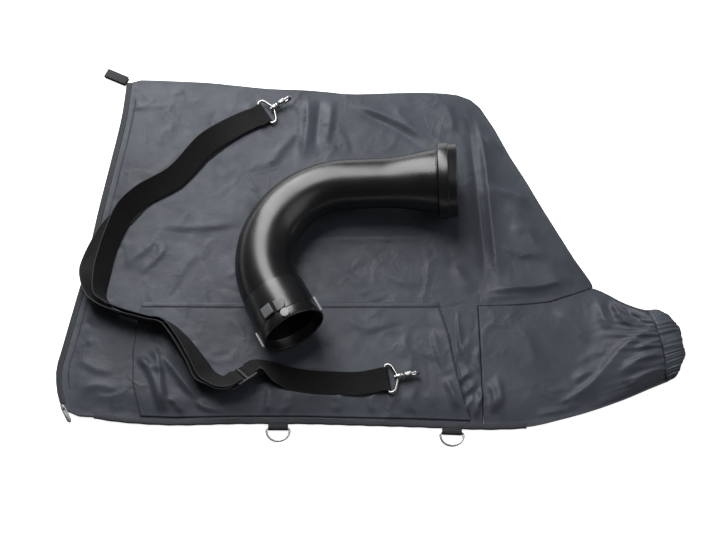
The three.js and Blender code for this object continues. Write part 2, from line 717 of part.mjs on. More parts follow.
function tubeX(fromX, toX, outer, inner, z = 0, sides = 14) {
  const profile = inner > 0
    ? [[inner, fromX], [outer, fromX], [outer, toX], [inner, toX], [inner, fromX]]
    : [[0, fromX], [outer, fromX], [outer, toX], [0, toX]];
  const shape = new THREE.LatheGeometry(profile.map(([r, h]) => new THREE.Vector2(r, h)), sides);
  shape.rotateZ(-Math.PI / 2);
  return shape.translate(0, 0, z);
}

const eyeSide = EYE_INSIDE / 2 + EYE_WIRE / 2;
const barrelFrom = EYE_DEPTH - EYE_WIRE / 2 - 0.2;
const barrelTo = barrelFrom + BARREL_LENGTH;
const baseFrom = barrelTo + RUN;
const baseTo = baseFrom + BASE_LENGTH;
const gateTo = baseTo + GATE_TUBE_LENGTH;
const noseX = baseTo + HOOK_REACH;

function hookEye(name) {
  const r = EYE_WIRE / 2;
  const plan = [
    [0, -eyeSide + 3], [0, eyeSide - 3], [1.6, eyeSide - 0.6], [5, eyeSide], [9, eyeSide - 1.5], [12, eyeSide - 6],
    [14.5, eyeSide - 13], [EYE_DEPTH, 4], [EYE_DEPTH, -4], [14.5, 13 - eyeSide], [12, 6 - eyeSide],
    [9, 1.5 - eyeSide], [5, -eyeSide], [1.6, 0.6 - eyeSide],
  ];
  const loop = wire(plan.map(([x, y]) => new THREE.Vector3(x, y, 0)), r);
  const barrel = tubeX(barrelFrom, barrelTo, BARREL_R, 0);
  const bore = tubeX(barrelFrom - 5, barrelTo + 5, STEM_R + RUN, 0);
  const made = solidOf(loop).add(solidOf(barrel)).subtract(solidOf(bore));
  return piece(name, geometryOf(made), NICKEL());
}

function hookBody(name) {
  const head = tubeX(barrelFrom - RUN - 2.2, barrelFrom - RUN, STEM_HEAD_R, 0);
  const stem = tubeX(barrelFrom - RUN - 1, baseFrom + 1, STEM_R, 0);
  const base = tubeX(baseFrom, baseTo, BASE_R, 0);
  const gate = tubeX(baseTo - 1, gateTo, GATE_TUBE_R, 0, GATE_Z);
  const bore = tubeX(baseTo, gateTo + 1, BOLT_R + RUN, 0, GATE_Z, BOLT_SIDES);
  const knobX = gateTo - KNOB_BACK;
  const slot = boxBetween([knobX - BOLT_TRAVEL - KNOB_R - 0.6, -KNOB_R - RUN, GATE_Z], [knobX + KNOB_R + 0.6, KNOB_R + RUN, 20]);
  const rise = (GATE_Z - HOOK_BACK_Z) / 2;
  const bend = Array.from({ length: 7 }, (_, i) => {
    const t = -Math.PI / 2 + deg(HOOK_BEND) * i / 6;
    return new THREE.Vector3(noseX - rise - HOOK_WIRE / 2 + rise * Math.cos(t), 0, HOOK_BACK_Z + rise + rise * Math.sin(t));
  });
  const tip = new THREE.Vector3(gateTo + HOOK_MOUTH, 0, GATE_Z);
  const back = wireUp([new THREE.Vector3(baseTo - 2, 0, HOOK_BACK_Z + 1.2), new THREE.Vector3(baseTo + 4, 0, HOOK_BACK_Z),
    ...bend, tip], HOOK_WIRE / 2);
  const made = solidOf(head).add(solidOf(stem)).add(solidOf(base)).add(solidOf(gate)).add(solidOf(back))
    .subtract(solidOf(bore)).subtract(solidOf(slot));
  return piece(name, geometryOf(made), NICKEL());
}

// Wire whose path lies in the local XZ plane.
function wireUp(points, radius, sides = 8) {
  const side = new THREE.Vector3(0, 1, 0);
  const rings = points.map((point, i) => {
    const before = points[Math.max(i - 1, 0)];
    const after = points[Math.min(i + 1, points.length - 1)];
    const up = after.clone().sub(before).normalize().cross(side);
    return Array.from({ length: sides }, (_, k) => {
      const t = 2 * Math.PI * (k + 0.5) / sides;
      return point.clone().addScaledVector(side, radius * Math.cos(t)).addScaledVector(up, radius * Math.sin(t));
    });
  });
  return loft(rings);
}

function hookBolt(name) {
  const rod = tubeX(baseTo + BOLT_TRAVEL + 1, gateTo + HOOK_MOUTH - GAP, BOLT_R, 0, GATE_Z, BOLT_SIDES);
  const knobX = gateTo - KNOB_BACK;
  const knob = new THREE.CylinderGeometry(KNOB_R, KNOB_R, KNOB_TOP - GATE_Z, 10);
  knob.rotateX(Math.PI / 2);
  knob.translate(knobX, 0, (KNOB_TOP + GATE_Z) / 2);
  return piece(name, geometryOf(solidOf(rod).add(solidOf(knob))), NICKEL());
}

const hookBarZ = (spot) => spot.ground + STRAP_THICK + 2 * GAP + EYE_WIRE / 2;

function snapHook(prefix, spot) {
  const group = new THREE.Group();
  group.position.set(spot.at[0], spot.at[1], hookBarZ(spot));
  group.rotation.order = 'ZYX';
  group.rotation.z = deg(spot.heading);
  group.rotation.y = -deg(spot.tilt);
  group.add(hookEye(`${prefix}_eye`), hookBody(`${prefix}_hook`), hookBolt(`${prefix}_bolt`));
  return group;
}
UPPER_HOOK.ground = BAG_TOP;
LOWER_HOOK.ground = POCKET_TOP;

// Tri-glide: a flat frame with a middle bar, leaning with the strap.

function glideFrame() {
  const group = new THREE.Group();
  group.position.set(GLIDE.at[0], GLIDE.at[1], POCKET_TOP + GLIDE.rise);
  group.rotation.order = 'ZYX';
  group.rotation.z = deg(GLIDE.heading);
  group.rotation.x = -deg(GLIDE.lean);
  return group;
}

function triGlide() {
  const halfX = GLIDE_LENGTH / 2;
  const halfY = GLIDE_INSIDE / 2 + GLIDE_BAR;
  const round = 3;
  const rim = new THREE.Shape([[1, -1, -90], [1, 1, 0], [-1, 1, 90], [-1, -1, 180]].flatMap(([x, y, from]) => (
    arcPoints(round, from, from + 90, 3).map(([dx, dy]) => (
      new THREE.Vector2(x * (halfX - round) + dx, y * (halfY - round) + dy)
    ))
  )));
  const frame = new THREE.ExtrudeGeometry(rim, { depth: GLIDE_THICK, bevelEnabled: false });
  frame.translate(0, 0, -GLIDE_THICK / 2);
  const near = GLIDE_BAR / 2;
  const far = halfX - GLIDE_BAR;
  const slot = (from, to) => solidOf(boxBetween(
    [from, -GLIDE_INSIDE / 2, -GLIDE_THICK],
    [to, GLIDE_INSIDE / 2, GLIDE_THICK],
  ));
  const made = solidOf(frame).subtract(slot(-far, -near)).subtract(slot(near, far));
  return piece('tri_glide', geometryOf(made), DUCT_BLACK());
}

// Strap: one webbing. A station gives its crest edge and foot edge in plan, and the foot's height.
// What the webbing's width leaves over the plan distance is how far the crest stands above the foot.

function station([crestX, crestY, footX, footY, footZ]) {
  const lean = Math.min(Math.hypot(crestX - footX, crestY - footY), STRAP_WIDTH);
  const foot = new THREE.Vector3(footX, footY, footZ);
  const across = new THREE.Vector3(crestX - footX, crestY - footY, 0).setLength(lean);
  const rise = Math.sqrt(STRAP_WIDTH ** 2 - lean ** 2);
  return [foot.clone().add(across).setZ(footZ + rise), foot];
}

// Local band stations of a group: x along, z off the group's plane, full width across.
function localStations(group, points, flip = 1) {
  group.updateMatrixWorld(true);
  return points.map(([x, z]) => [-1, 1].map((side) => (
    new THREE.Vector3(x, flip * side * STRAP_WIDTH / 2, z).applyMatrix4(group.matrixWorld)
  )));
}

function arcPoints(radius, from, to, count) {
  return Array.from({ length: count + 1 }, (_, i) => {
    const t = deg(from + (to - from) * i / count);
    return [radius * Math.cos(t), radius * Math.sin(t)];
  });
}

// Upper strand from the upper hook to the glide.
const UPPER_STRAND = [
  [-186, 282, -165, 250, 15],
  [-215, 265, -195, 233, 14.4],
  [-261, 228, -240, 200, 13.6],
  [-308, 168, -286, 142, 13.2],
  [-357, 133, -344, 104, 13.2],
  [-384, 99, -364, 82, 13.2],
  [-398, 62, -373, 58, 12.6],
  [-409, 21, -384, 26, 11.4],
  [-415, -19, -392, -16, 10.6],
  [-411, -58, -396, -50, 10.8],
  [-397, -71, -388, -64, 11.2],
  [-376, -82, -371, -75, 12.6],
  [-325, -98, -322, -91, 12.6],
  [-304, -102, -297, -94, 12.6],
  [-284, -124, -270, -115, 12.8],
  [-259, -166, -238, -154, 13],
  [-244, -193, -222, -176, 13.2],
  [-230.5, -203.4, -217, -180, 15],
  [-214.9, -210.9, -212.5, -183.5, 17.5],
  [-200.9, -211.9, -209.5, -185.3, 19.5],
];
// Lower strand, back from the glide to the upper hook. It leans outside the upper one, then slides under it.
const LOWER_STRAND = [
  [-200.2, -214.4, -208.8, -187.8, 16.9],
  [-214.9, -213.8, -212.5, -186.4, 14.7],
  [-231.9, -205.8, -218.4, -182.4, 12.4],
  [-249, -197, -227, -180, 12.4],
  [-264, -169, -243, -157, 12.4],
  [-289, -128, -275, -119, 12.4],
  [-307, -107, -300, -99, 12.4],
  [-326, -103, -323, -96, 12.4],
  [-378, -88, -374, -81, 12.4],
  [-401, -78, -393, -70, 11],
  [-421, -62, -403, -52, 10.6],
  [-438, -22, -404, -20, 10.4],
  [-440, 10, -402, 8, 10.4],
  [-428, 42, -392, 30, 10.4],
  [-410, 76, -378, 56, 10.4],
  [-386, 108, -357, 83, 10.4],
  [-360, 139, -333, 112, 10.4],
  [-309, 171, -286, 140, 10.4],
  [-261, 226, -239, 195, 10.4],
  [-215, 264, -195, 231, 10.4],
];
// Single strand from the glide to the lower hook.
const SINGLE_STRAND = [
  [-131, -196, -131, -160, 13.2],
  [-107, -206, -105, -168, 12.6],
  [-76, -211, -76, -173, 12.4],
  [-40, -213, -40, -175, 12.4],
];

// Station offsets round a hook's bar, in the hook's upright plane before it tilts.
function hookFold(spot, inwards) {
  const group = new THREE.Group();
  group.position.set(spot.at[0], spot.at[1], hookBarZ(spot));
  group.rotation.z = deg(spot.heading);
  const radius = EYE_WIRE / 2 + GAP + STRAP_THICK / 2;
  const run = inwards ? 1 : -1;
  const bend = arcPoints(radius, -90 * run, 90 * run, 8);
  return { group, bend };
}

function strapStations() {
  const glide = glideFrame();
  const barZ = GLIDE_THICK / 2 + GAP + STRAP_THICK / 2;
  const rear = -GLIDE_LENGTH / 2 + GLIDE_BAR / 2;
  const loop = GLIDE_BAR / 2 + GAP + STRAP_THICK / 2 + 0.4;
  const tail = [[rear - TAIL_LENGTH, -barZ - 0.1], [rear - TAIL_LENGTH / 2, -barZ], [rear + loop - 1.7, -barZ]];
  const round = [[rear + loop - 0.2, 0.8 - barZ], [rear + loop, 0], [rear + loop - 0.2, barZ - 0.8]];
  const leave = [[rear + loop - 1.7, barZ], [rear - GLIDE_LEAD, barZ]];
  const over = barZ + STRAP_THICK + GAP;
  const front = -rear;
  const weave = [
    [rear - GLIDE_LEAD, over], [rear + 2.6, over], [rear + 5.4, over - 1],
    [-5.4, -0.8], [-3.2, -barZ], [3.2, -barZ], [5.4, -1.2], [front - 4, barZ - 0.8], [front - 1.6, barZ],
    [front + 2, barZ], [front + 10, barZ - 1],
  ];
  const upper = hookFold(UPPER_HOOK, true);
  const lower = hookFold(LOWER_HOOK, false);
  const atGlide = (points) => localStations(glide, points);
  const layers = EYE_WIRE / 2 + GAP + STRAP_THICK / 2;
  return [
    ...atGlide([...tail, ...round, ...leave]),
    ...LOWER_STRAND.map(station),
    ...localStations(upper.group, [[-14, -layers + 0.4], [-4, -layers], ...upper.bend, [-4, layers], [-14, layers - 0.6]], -1),
    ...UPPER_STRAND.map(station),
    ...atGlide(weave),
    ...SINGLE_STRAND.map(station),
    ...localStations(lower.group, [
      [-HOOK_LEAD, -0.4], [-HOOK_LEAD / 2, layers - 2], [-HOOK_SEWN, layers], ...lower.bend,
      [-HOOK_SEWN, -layers], [-HOOK_TURN_IN, -layers],
    ]),
  ];
}

// Band over its stations, half its thickness to either side.
function strapWebbing() {
  const stations = strapStations();
  const sides = stations.map(([a, b], i) => {
    const before = stations[Math.max(i - 1, 0)];
    const after = stations[Math.min(i + 1, stations.length - 1)];
    const along = after[0].clone().add(after[1]).sub(before[0]).sub(before[1]).normalize();
    const across = b.clone().sub(a).normalize();
    const up = along.cross(across).normalize().multiplyScalar(STRAP_THICK / 2);
    return [a, b].map((edge) => [edge.clone().add(up), edge.clone().sub(up)]);
  });
  const steps = stations.map((_, i) => i);
  const face = (k) => (i, edge) => sides[i][edge][k];
  return piece('strap_webbing', sheet(steps, [0, 1], face(0), face(1)), WEBBING_BLACK());
}

// Elbow duct in its own flat frame: origin at the flange face, run along -X, bend towards -Y.

const bendEnd = DUCT_STRAIGHT + DUCT_BEND_R * deg(DUCT_TURN);
const ductEnd = bendEnd + DUCT_TAIL;

function ductFrame(s) {
  const t = THREE.MathUtils.clamp((s - DUCT_STRAIGHT) / DUCT_BEND_R, 0, deg(DUCT_TURN));
  const along = new THREE.Vector3(-Math.cos(t), -Math.sin(t), 0);
  const at = new THREE.Vector3(
    -Math.min(s, DUCT_STRAIGHT) - DUCT_BEND_R * Math.sin(t),
    -DUCT_BEND_R * (1 - Math.cos(t)),
    0,
  ).addScaledVector(along, Math.max(s - bendEnd, 0));
  return { at, along, side: new THREE.Vector3(-along.y, along.x, 0) };
}

function ductRadius(s) {
  const cone = (CONE_END_R - DUCT_R) * ramp((CONE_START - s) / (CONE_START - FLANGE_LENGTH) * 0.8) / ramp(0.8);
  const swell = (DUCT_END_R - DUCT_R) * ramp((s - DUCT_STRAIGHT) / (bendEnd - DUCT_STRAIGHT));
  return DUCT_R + (s < CONE_START ? cone : swell);
}

function ductRing(s, radius, sides) {
  const { at, side } = ductFrame(s);
  return Array.from({ length: sides }, (_, k) => {
    const t = 2 * Math.PI * (k + 0.5) / sides;
    return at.clone().addScaledVector(side, radius * Math.cos(t)).add(new THREE.Vector3(0, 0, radius * Math.sin(t)));
  });
}

// Hollow piece on the duct's line: [distance, outer radius, inner radius] for each step.
function ductShell(profile, sides) {
  const outer = profile.map(([s, r]) => ductRing(s, r, sides));
  const inner = profile.map(([s, , r]) => ductRing(s, r, sides));
  return loft([...outer, ...inner.reverse()], true);
}

const collarFrom = ductEnd - COLLAR_LENGTH;
const beadFrom = FLANGE_LENGTH + GAP;
const DUCT_SIDES = 24;

function elbowTube() {
  const coneFrom = beadFrom + BEAD_LENGTH + GAP;
  const cone = Array.from({ length: 7 }, (_, i) => coneFrom + (CONE_START - coneFrom) * i / 6);
  const stops = [...cone, DUCT_STRAIGHT];
  const bends = 11;
  for (let i = 1; i <= bends; i += 1) stops.push(DUCT_STRAIGHT + (collarFrom - GAP - DUCT_STRAIGHT) * i / bends);
  const profile = stops.map((s) => [s, ductRadius(s), ductRadius(s) - DUCT_WALL]);
  return piece('elbow_tube', ductShell(profile, DUCT_SIDES), DUCT_BLACK());
}

function elbowFlange() {
  const bore = CONE_END_R - DUCT_WALL;
  const step = FLANGE_LENGTH * 0.45;
  const flange = ductShell([[0, FLANGE_R - FLANGE_STEP, bore], [step, FLANGE_R - FLANGE_STEP, bore], [step, FLANGE_R, bore],
    [FLANGE_LENGTH, FLANGE_R, bore]], 30);
  const beadR = CONE_END_R + BEAD_RISE;
  const bead = ductShell([[beadFrom, beadR, bore], [beadFrom + BEAD_LENGTH, beadR, bore]], 30);
  return [piece('elbow_flange', flange, DUCT_BLACK()), piece('flange_bead', bead, DUCT_BLACK())];
}

const sleeveEnd = ductEnd - MOUTH_LENGTH;

function inletCollar() {
  const inner = MOUTH_R - COLLAR_WALL;
  const shell = ductShell([[collarFrom, DUCT_END_R + 0.6, DUCT_END_R - DUCT_WALL], [collarFrom + 3, COLLAR_R, inner - 1],
    [sleeveEnd, COLLAR_R, inner - 1], [sleeveEnd, MOUTH_R, inner], [ductEnd, MOUTH_R, inner]], DUCT_SIDES);
  return piece('inlet_collar', shell, DUCT_BLACK());
}

// Detail on the collar: a shape built with Z away from the collar and Y back along the duct.
function onCollar(name, shape, s, angle, radius, finish) {
  const { at, along, side } = ductFrame(s);
  const out = side.clone().multiplyScalar(Math.cos(deg(angle))).add(new THREE.Vector3(0, 0, Math.sin(deg(angle))));
  const across = out.clone().cross(along);
  const matrix = new THREE.Matrix4().makeBasis(across, along.negate(), out).setPosition(at.clone().addScaledVector(out, radius));
  const mesh = piece(name, shape, finish);
  mesh.applyMatrix4(matrix);
  return mesh;
}

function plate(outline, height) {
  return new THREE.ExtrudeGeometry(outline, { depth: height, bevelEnabled: false, curveSegments: 10 });
}

function rectangle(width, length) {
  const [w, l] = [width / 2, length / 2];
  return new THREE.Shape([[-w, -l], [w, -l], [w, l], [-w, l]].map(([x, y]) => new THREE.Vector2(x, y)));
}

const STOP_ANGLE = 120;
const PAD_ANGLE = 96;
const PIN_ANGLE = 95;
const LUG_ANGLES = [20, 184];

function collarDetails() {
  const radius = PAD_LENGTH / 2;
  const round = arcPoints(radius, -90, 90, 10).map(([x, y]) => new THREE.Vector2(PAD_WIDTH / 2 - radius + x, y));
  const pad = new THREE.Shape([new THREE.Vector2(-PAD_WIDTH / 2, -radius), ...round, new THREE.Vector2(-PAD_WIDTH / 2, radius)]);
  const disc = new THREE.CylinderGeometry(PIN_R, PIN_R, PIN_HEIGHT, 20);
  disc.rotateX(Math.PI / 2);
  disc.translate(0, 0, PIN_HEIGHT / 2);
  const seat = COLLAR_R + GAP;
  return [
    onCollar('stop_block', plate(rectangle(STOP_SIZE, STOP_SIZE), STOP_HEIGHT), ductEnd - STOP_BACK, STOP_ANGLE, seat, LUG_GREY()),
    onCollar('latch_pad', plate(pad, PAD_HEIGHT), ductEnd - PAD_BACK, PAD_ANGLE, seat, DUCT_BLACK()),
    onCollar('collar_pin', disc, ductEnd - PIN_R - PIN_BACK, PIN_ANGLE, MOUTH_R + GAP, LUG_GREY()),
    ...LUG_ANGLES.map((angle, i) => onCollar(
      `lug_rib_${i + 1}`,
      plate(rectangle(LUG_WIDTH, LUG_LENGTH), LUG_HEIGHT),
      ductEnd - LUG_LENGTH / 2,
      angle,
      MOUTH_R + GAP,
      LUG_GREY(),
    )),
  ];
}

// Top of the cloth at a plan point, on the pocket panel or beside it.
function clothTop(x, y) {
  const bag = plainTop(x, y) + foldHeight(FRONT_FOLDS, x, y);
  const onPocket = y < POCKET_HEM[0][1] + RIM_FLAT;
  return onPocket ? bag + POCKET_GAP + CLOTH + foldHeight(POCKET_FOLDS, x, y) : bag;
}

// How far a group must rise for its lowest point to just clear the cloth under it.
function seatOnCloth(group) {
  group.updateMatrixWorld(true);
  const spot = new THREE.Vector3();
  let lift = -Infinity;
  group.traverse((mesh) => {
    if (!mesh.isMesh) return;
    const at = mesh.geometry.getAttribute('position');
    for (let i = 0; i < at.count; i += 1) {
      spot.fromBufferAttribute(at, i).applyMatrix4(mesh.matrixWorld);
      lift = Math.max(lift, clothTop(spot.x, spot.y) + DUCT_SEAT - spot.z);
    }
  });
  return lift;
}

function elbow() {
  const group = new THREE.Group();
  const normal = new THREE.Vector3(-DUCT_RISE_X, -DUCT_RISE_Y, 1).normalize();
  group.quaternion.setFromUnitVectors(new THREE.Vector3(0, 0, 1), normal);
  group.position.set(DUCT_AT[0], DUCT_AT[1], 0);
  group.add(elbowTube(), ...elbowFlange(), inletCollar(), ...collarDetails());
  group.position.z = seatOnCloth(group);
  return group;
}

function zipHardware() {
  const group = new THREE.Group();
  const inner = COIL_OUT + COIL_WIDTH / 2;
  const along = new THREE.Vector2(Math.cos(zipEndHeading), Math.sin(zipEndHeading));
  group.position.set(zipEnd[0] - inner * along.y + 6.4 * along.x, zipEnd[1] + inner * along.x + 6.4 * along.y, 0);
  group.rotation.z = zipEndHeading - Math.PI / 2;
  const pull = zipPull();
  pull.rotation.order = 'ZYX';
  pull.rotation.z = Math.PI;
  pull.rotation.x = -deg(PULL_DROOP);
  group.add(slider(), pull);
  return group;
}

const part = new THREE.Group();
part.name = 'leaf_collection_bag';
part.add(backPanel(), frontPanel(), pocketPanel(), neckSleeve(), ...cuff(), bottomBinding(), ...zip(), zipHardware());
part.add(hangingLoop());
RING_X.forEach((x, i) => {
  const side = ['left', 'right'][i];
  const frame = ringFrame(x);
  frame.add(ringTab(`ring_tab_${side}`), dRing(`d_ring_${side}`));
  part.add(frame);
});
part.add(strapWebbing(), snapHook('upper', UPPER_HOOK), snapHook('lower', LOWER_HOOK));
const glideGroup = glideFrame();
glideGroup.add(triGlide());
part.add(glideGroup);
part.add(elbow());

const whole = new THREE.Group();
whole.add(part);
whole.updateMatrixWorld(true);
const reach = new THREE.Box3().setFromObject(whole, true);
part.position.set(-(reach.min.x + reach.max.x) / 2, -(reach.min.y + reach.max.y) / 2, -reach.min.z);

export default whole;
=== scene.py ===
"""Leaf collection bag laid flat, with its shoulder strap and elbow duct on it.

The solid model is the fixed frame. Each operator dresses one group of its pieces.
Plan points are millimetres from the middle of the bag: X along it, Y across it, Z up.
"""
import json
import math

import bmesh
import bpy
import numpy as np
from mathutils import Matrix, Vector
from mathutils.bvhtree import BVHTree


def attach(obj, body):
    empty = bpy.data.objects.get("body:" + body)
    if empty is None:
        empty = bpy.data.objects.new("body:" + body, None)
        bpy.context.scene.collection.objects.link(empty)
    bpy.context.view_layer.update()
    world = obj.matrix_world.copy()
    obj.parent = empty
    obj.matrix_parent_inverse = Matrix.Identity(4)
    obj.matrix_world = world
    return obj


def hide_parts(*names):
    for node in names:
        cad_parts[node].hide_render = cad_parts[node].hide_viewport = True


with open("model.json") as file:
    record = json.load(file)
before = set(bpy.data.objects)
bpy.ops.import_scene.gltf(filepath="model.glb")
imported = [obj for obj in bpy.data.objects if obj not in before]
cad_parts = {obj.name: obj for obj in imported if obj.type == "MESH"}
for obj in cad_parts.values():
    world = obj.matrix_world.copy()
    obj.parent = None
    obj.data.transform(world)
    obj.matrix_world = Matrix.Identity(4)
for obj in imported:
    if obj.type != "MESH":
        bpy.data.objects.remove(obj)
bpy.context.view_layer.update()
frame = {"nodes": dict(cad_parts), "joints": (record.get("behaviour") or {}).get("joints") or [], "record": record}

bl_info = {
    "name": "Leaf collection bag",
    "version": (1, 0, 0),
    "blender": (4, 5, 0),
    "location": "3D View > Sidebar > Leaf bag",
    "description": "Dresses a leaf collection bag with its shoulder strap and elbow duct",
    "category": "Object",
}

MM = 0.001
GAP = 0.3

# Place of the plan's middle in the frame, from the mount under the bag's lower edge
UNDERSIDE_POINT = (-185, -252)
MOUNTS = {mount["name"]: mount for mount in frame["record"]["mounts"]}
JOINTS = {joint["name"]: joint for joint in frame["joints"]}
SHIFT = np.array([*(np.array(MOUNTS["bag_underside"]["pos_m"][:2]) / MM - UNDERSIDE_POINT), 0.0])

# Cloth
CLOTH = 1.2
BINDING = 1.0
BINDING_SHOWN = 6
BACK_LOW = BINDING + GAP
RIM_LOW = BACK_LOW + CLOTH + GAP
RIM_TOP = RIM_LOW + CLOTH
BAG_TOP = 9.2
RIM_FLAT = 3
RISE = 46
POCKET_GAP = 0.7
SLIT_RISE = 3.2
POCKET_TOP = BAG_TOP + POCKET_GAP + CLOTH
NECK_TOP = 30
NECK_START_X = 330
NECK_FULL_X = 460
PUFF = 0.75
PUFF_START_X = 270
PUFF_RUN = 130

ZIP_EDGE = [
    (-446, -236), (-457, -213), (-463, -172), (-456, -132), (-440, -50),
    (-430, 0), (-417, 95), (-403, 181), (-389, 270), (-384, 338),
]
BOTTOM_EDGE = [
    (-446, -236), (-430, -244), (-404, -246), (-355, -253), (-282, -257),
    (-185, -255), (-88, -255), (-15, -257), (82, -260), (187, -264),
]
TOP_EDGE = [
    (-384, 338), (-363, 344), (-336, 343), (-256, 339), (-203, 333), (-149, 327),
    (-96, 325), (-43, 320), (-10, 317), (90, 320), (143, 318), (162, 315),
]
GUSSET_EDGE = [(187, -264), (186, -160), (184, -66)]
NECK_SEAM = [(249, -64), (296, -59), (336, -45), (366, -33)]
SLANT_EDGE = [
    (362, -21), (339, 17), (316, 61), (292, 107), (269, 154), (244, 200),
    (220, 252), (198, 291), (183, 306), (162, 315),
]
NECK_BOTTOM = [(187, -264), (252, -262), (301, -251), (350, -237), (400, -219), (438, -203), (470, -190)]
NECK_CREST = [(366, -33), (386, -43), (410, -58), (435, -69), (447, -72)]
POCKET_HEM = [(-339, -60), (-200, -61), (-50, -61), (120, -60)]
POCKET_LEFT = [(-333, -245), (-347, -196), (-350, -139), (-345, -89), (-339, -60)]
POCKET_RIGHT = [(167, -252), (158, -225), (143, -158), (136, -115), (120, -60)]
POCKET_FOOT = [(-333, -245), (-282, -247), (-185, -245), (-88, -245), (-15, -247), (82, -249), (167, -252)]

# Folds: plan line, rise of the crest (below zero for a crease), half width, lean to its left side
FRONT_FOLDS = [
    ([(-86, 316), (-87, 252), (-92, 191)], 6.0, 18, 0.5),
    ([(-45, 309), (-49, 260), (-57, 210)], 4.0, 17, -0.4),
    ([(-66, 312), (-69, 262), (-74, 205)], -3.5, 12, 0),
    ([(-25, 300), (41, 272), (122, 224)], 4.0, 20, 0.5),
    ([(-15, 285), (52, 252), (115, 205)], -3.0, 16, 0),
    ([(-158, 164), (-122, 219), (-98, 237), (-92, 182)], 3.5, 22, 0.3),
    ([(190, 292), (201, 200), (206, 124), (214, 6), (219, -55)], 6.0, 18, 0.55),
    ([(176, 285), (184, 190), (190, 110), (196, 10), (199, -50)], -4.0, 13, 0),
    ([(201, 237), (239, 204)], 5.0, 16, 0.4),
    ([(198, 140), (246, 128), (278, 119)], 5.5, 17, -0.4),
    ([(212, 40), (262, 24), (306, 20)], 4.0, 18, 0.3),
    ([(192, -40), (249, -36), (296, -31), (344, -12)], 8.0, 25, 0.2),
    ([(126, -58), (141, -110), (150, -158), (164, -220), (173, -252)], -3.0, 9, 0),
    ([(-100, 48), (32, 50), (159, 52)], 2.2, 12, 0.4),
    ([(64, 83), (127, 53)], 2.4, 15, 0),
    ([(-323, 71), (-255, 69), (-187, 78)], 3.2, 13, 0.5),
    ([(-318, 66), (-336, 36), (-378, 1)], 3.0, 13, 0.4),
    ([(-300, 46), (-322, 14), (-350, -14)], 2.4, 12, -0.3),
    ([(-250, 30), (-276, 2), (-288, -30)], 1.8, 15, 0),
    ([(-36, 140), (-30, 110), (-8, 86)], 2.0, 20, 0),
    ([(20, 0), (60, -22), (110, -28)], 2.2, 20, 0.2),
    ([(150, 10), (160, -20), (178, -44)], 3.0, 18, 0),
    ([(-190, 300), (-178, 276), (-182, 246)], 2.0, 16, 0),
    ([(-330, 300), (-310, 262), (-312, 220)], 1.6, 22, 0),
    ([(60, 300), (66, 272), (92, 252)], 2.2, 18, 0.3),
    ([(140, 300), (150, 268), (150, 236)], 2.6, 18, -0.3),
    ([(-440, -150), (-405, -170), (-372, -176)], 2.2, 16, 0.3),
    ([(-430, -205), (-400, -196), (-366, -206)], 2.4, 14, 0),
    ([(-60, 4), (-20, -14), (14, -42)], 1.8, 18, 0),
    ([(288, 60), (262, 72), (236, 68)], 3.4, 14, 0.4),
]
POCKET_FOLDS = [
    ([(-343, -150), (-322, -175), (-308, -212), (-303, -245)], 7.0, 12, 0.4),
    ([(-344, -150), (-322, -165), (-294, -175)], 5.0, 11, 0),
    ([(-324, -131), (-310, -155), (-300, -212), (-291, -245)], 7.0, 11, -0.4),
    ([(-300, -220), (-281, -224), (-268, -246)], 4.0, 9, 0),
    ([(-316, -139), (-290, -168), (-246, -224)], 6.0, 12, 0.5),
    ([(-306, -100), (-280, -130), (-262, -160)], 2.6, 14, 0.3),
    ([(-251, -220), (-235, -233), (-205, -240)], 4.0, 10, 0.3),
    ([(-137, -196), (-140, -228), (-145, -245)], 4.0, 10, 0.4),
    ([(-120, -246), (-108, -228), (-104, -206)], 3.0, 10, 0),
    ([(-40, -244), (-30, -226), (-34, -206)], 3.2, 11, 0.3),
    ([(20, -245), (16, -222), (28, -204)], 3.0, 11, -0.3),
    ([(84, -248), (78, -222), (90, -196)], 3.4, 12, 0.3),
    ([(60, -120), (78, -150), (74, -186)], 2.6, 18, 0),
    ([(112, -100), (118, -140), (132, -184)], 3.4, 14, 0.4),
    ([(128, -182), (140, -210), (148, -240)], 5.0, 11, 0),
    ([(-30, -80), (10, -104), (60, -98)], 2.0, 18, 0),
]
GUSSET_FOLDS = [
    ([(150, -200), (158, -184), (176, -176)], 5.0, 8, 0.4),
    ([(160, -236), (152, -220), (150, -204)], 4.0, 8, -0.3),
    ([(176, -252), (178, -232), (186, -214), (184, -196)], 6.0, 8, 0.3),
    ([(148, -70), (152, -110), (160, -150)], 3.4, 14, -0.4),
    ([(146, -214), (164, -206), (182, -188)], 5.0, 11, 0.3),
    ([(158, -246), (166, -226), (178, -214)], 4.0, 9, 0),
    ([(134, -90), (150, -120), (156, -160)], 2.6, 12, 0.3),
    ([(172, -120), (160, -140), (166, -166)], 3.2, 9, 0.4),
    ([(186, -130), (180, -156), (188, -180)], 3.4, 9, -0.4),
    ([(140, -166), (150, -178), (146, -198)], 3.0, 8, 0.2),
]
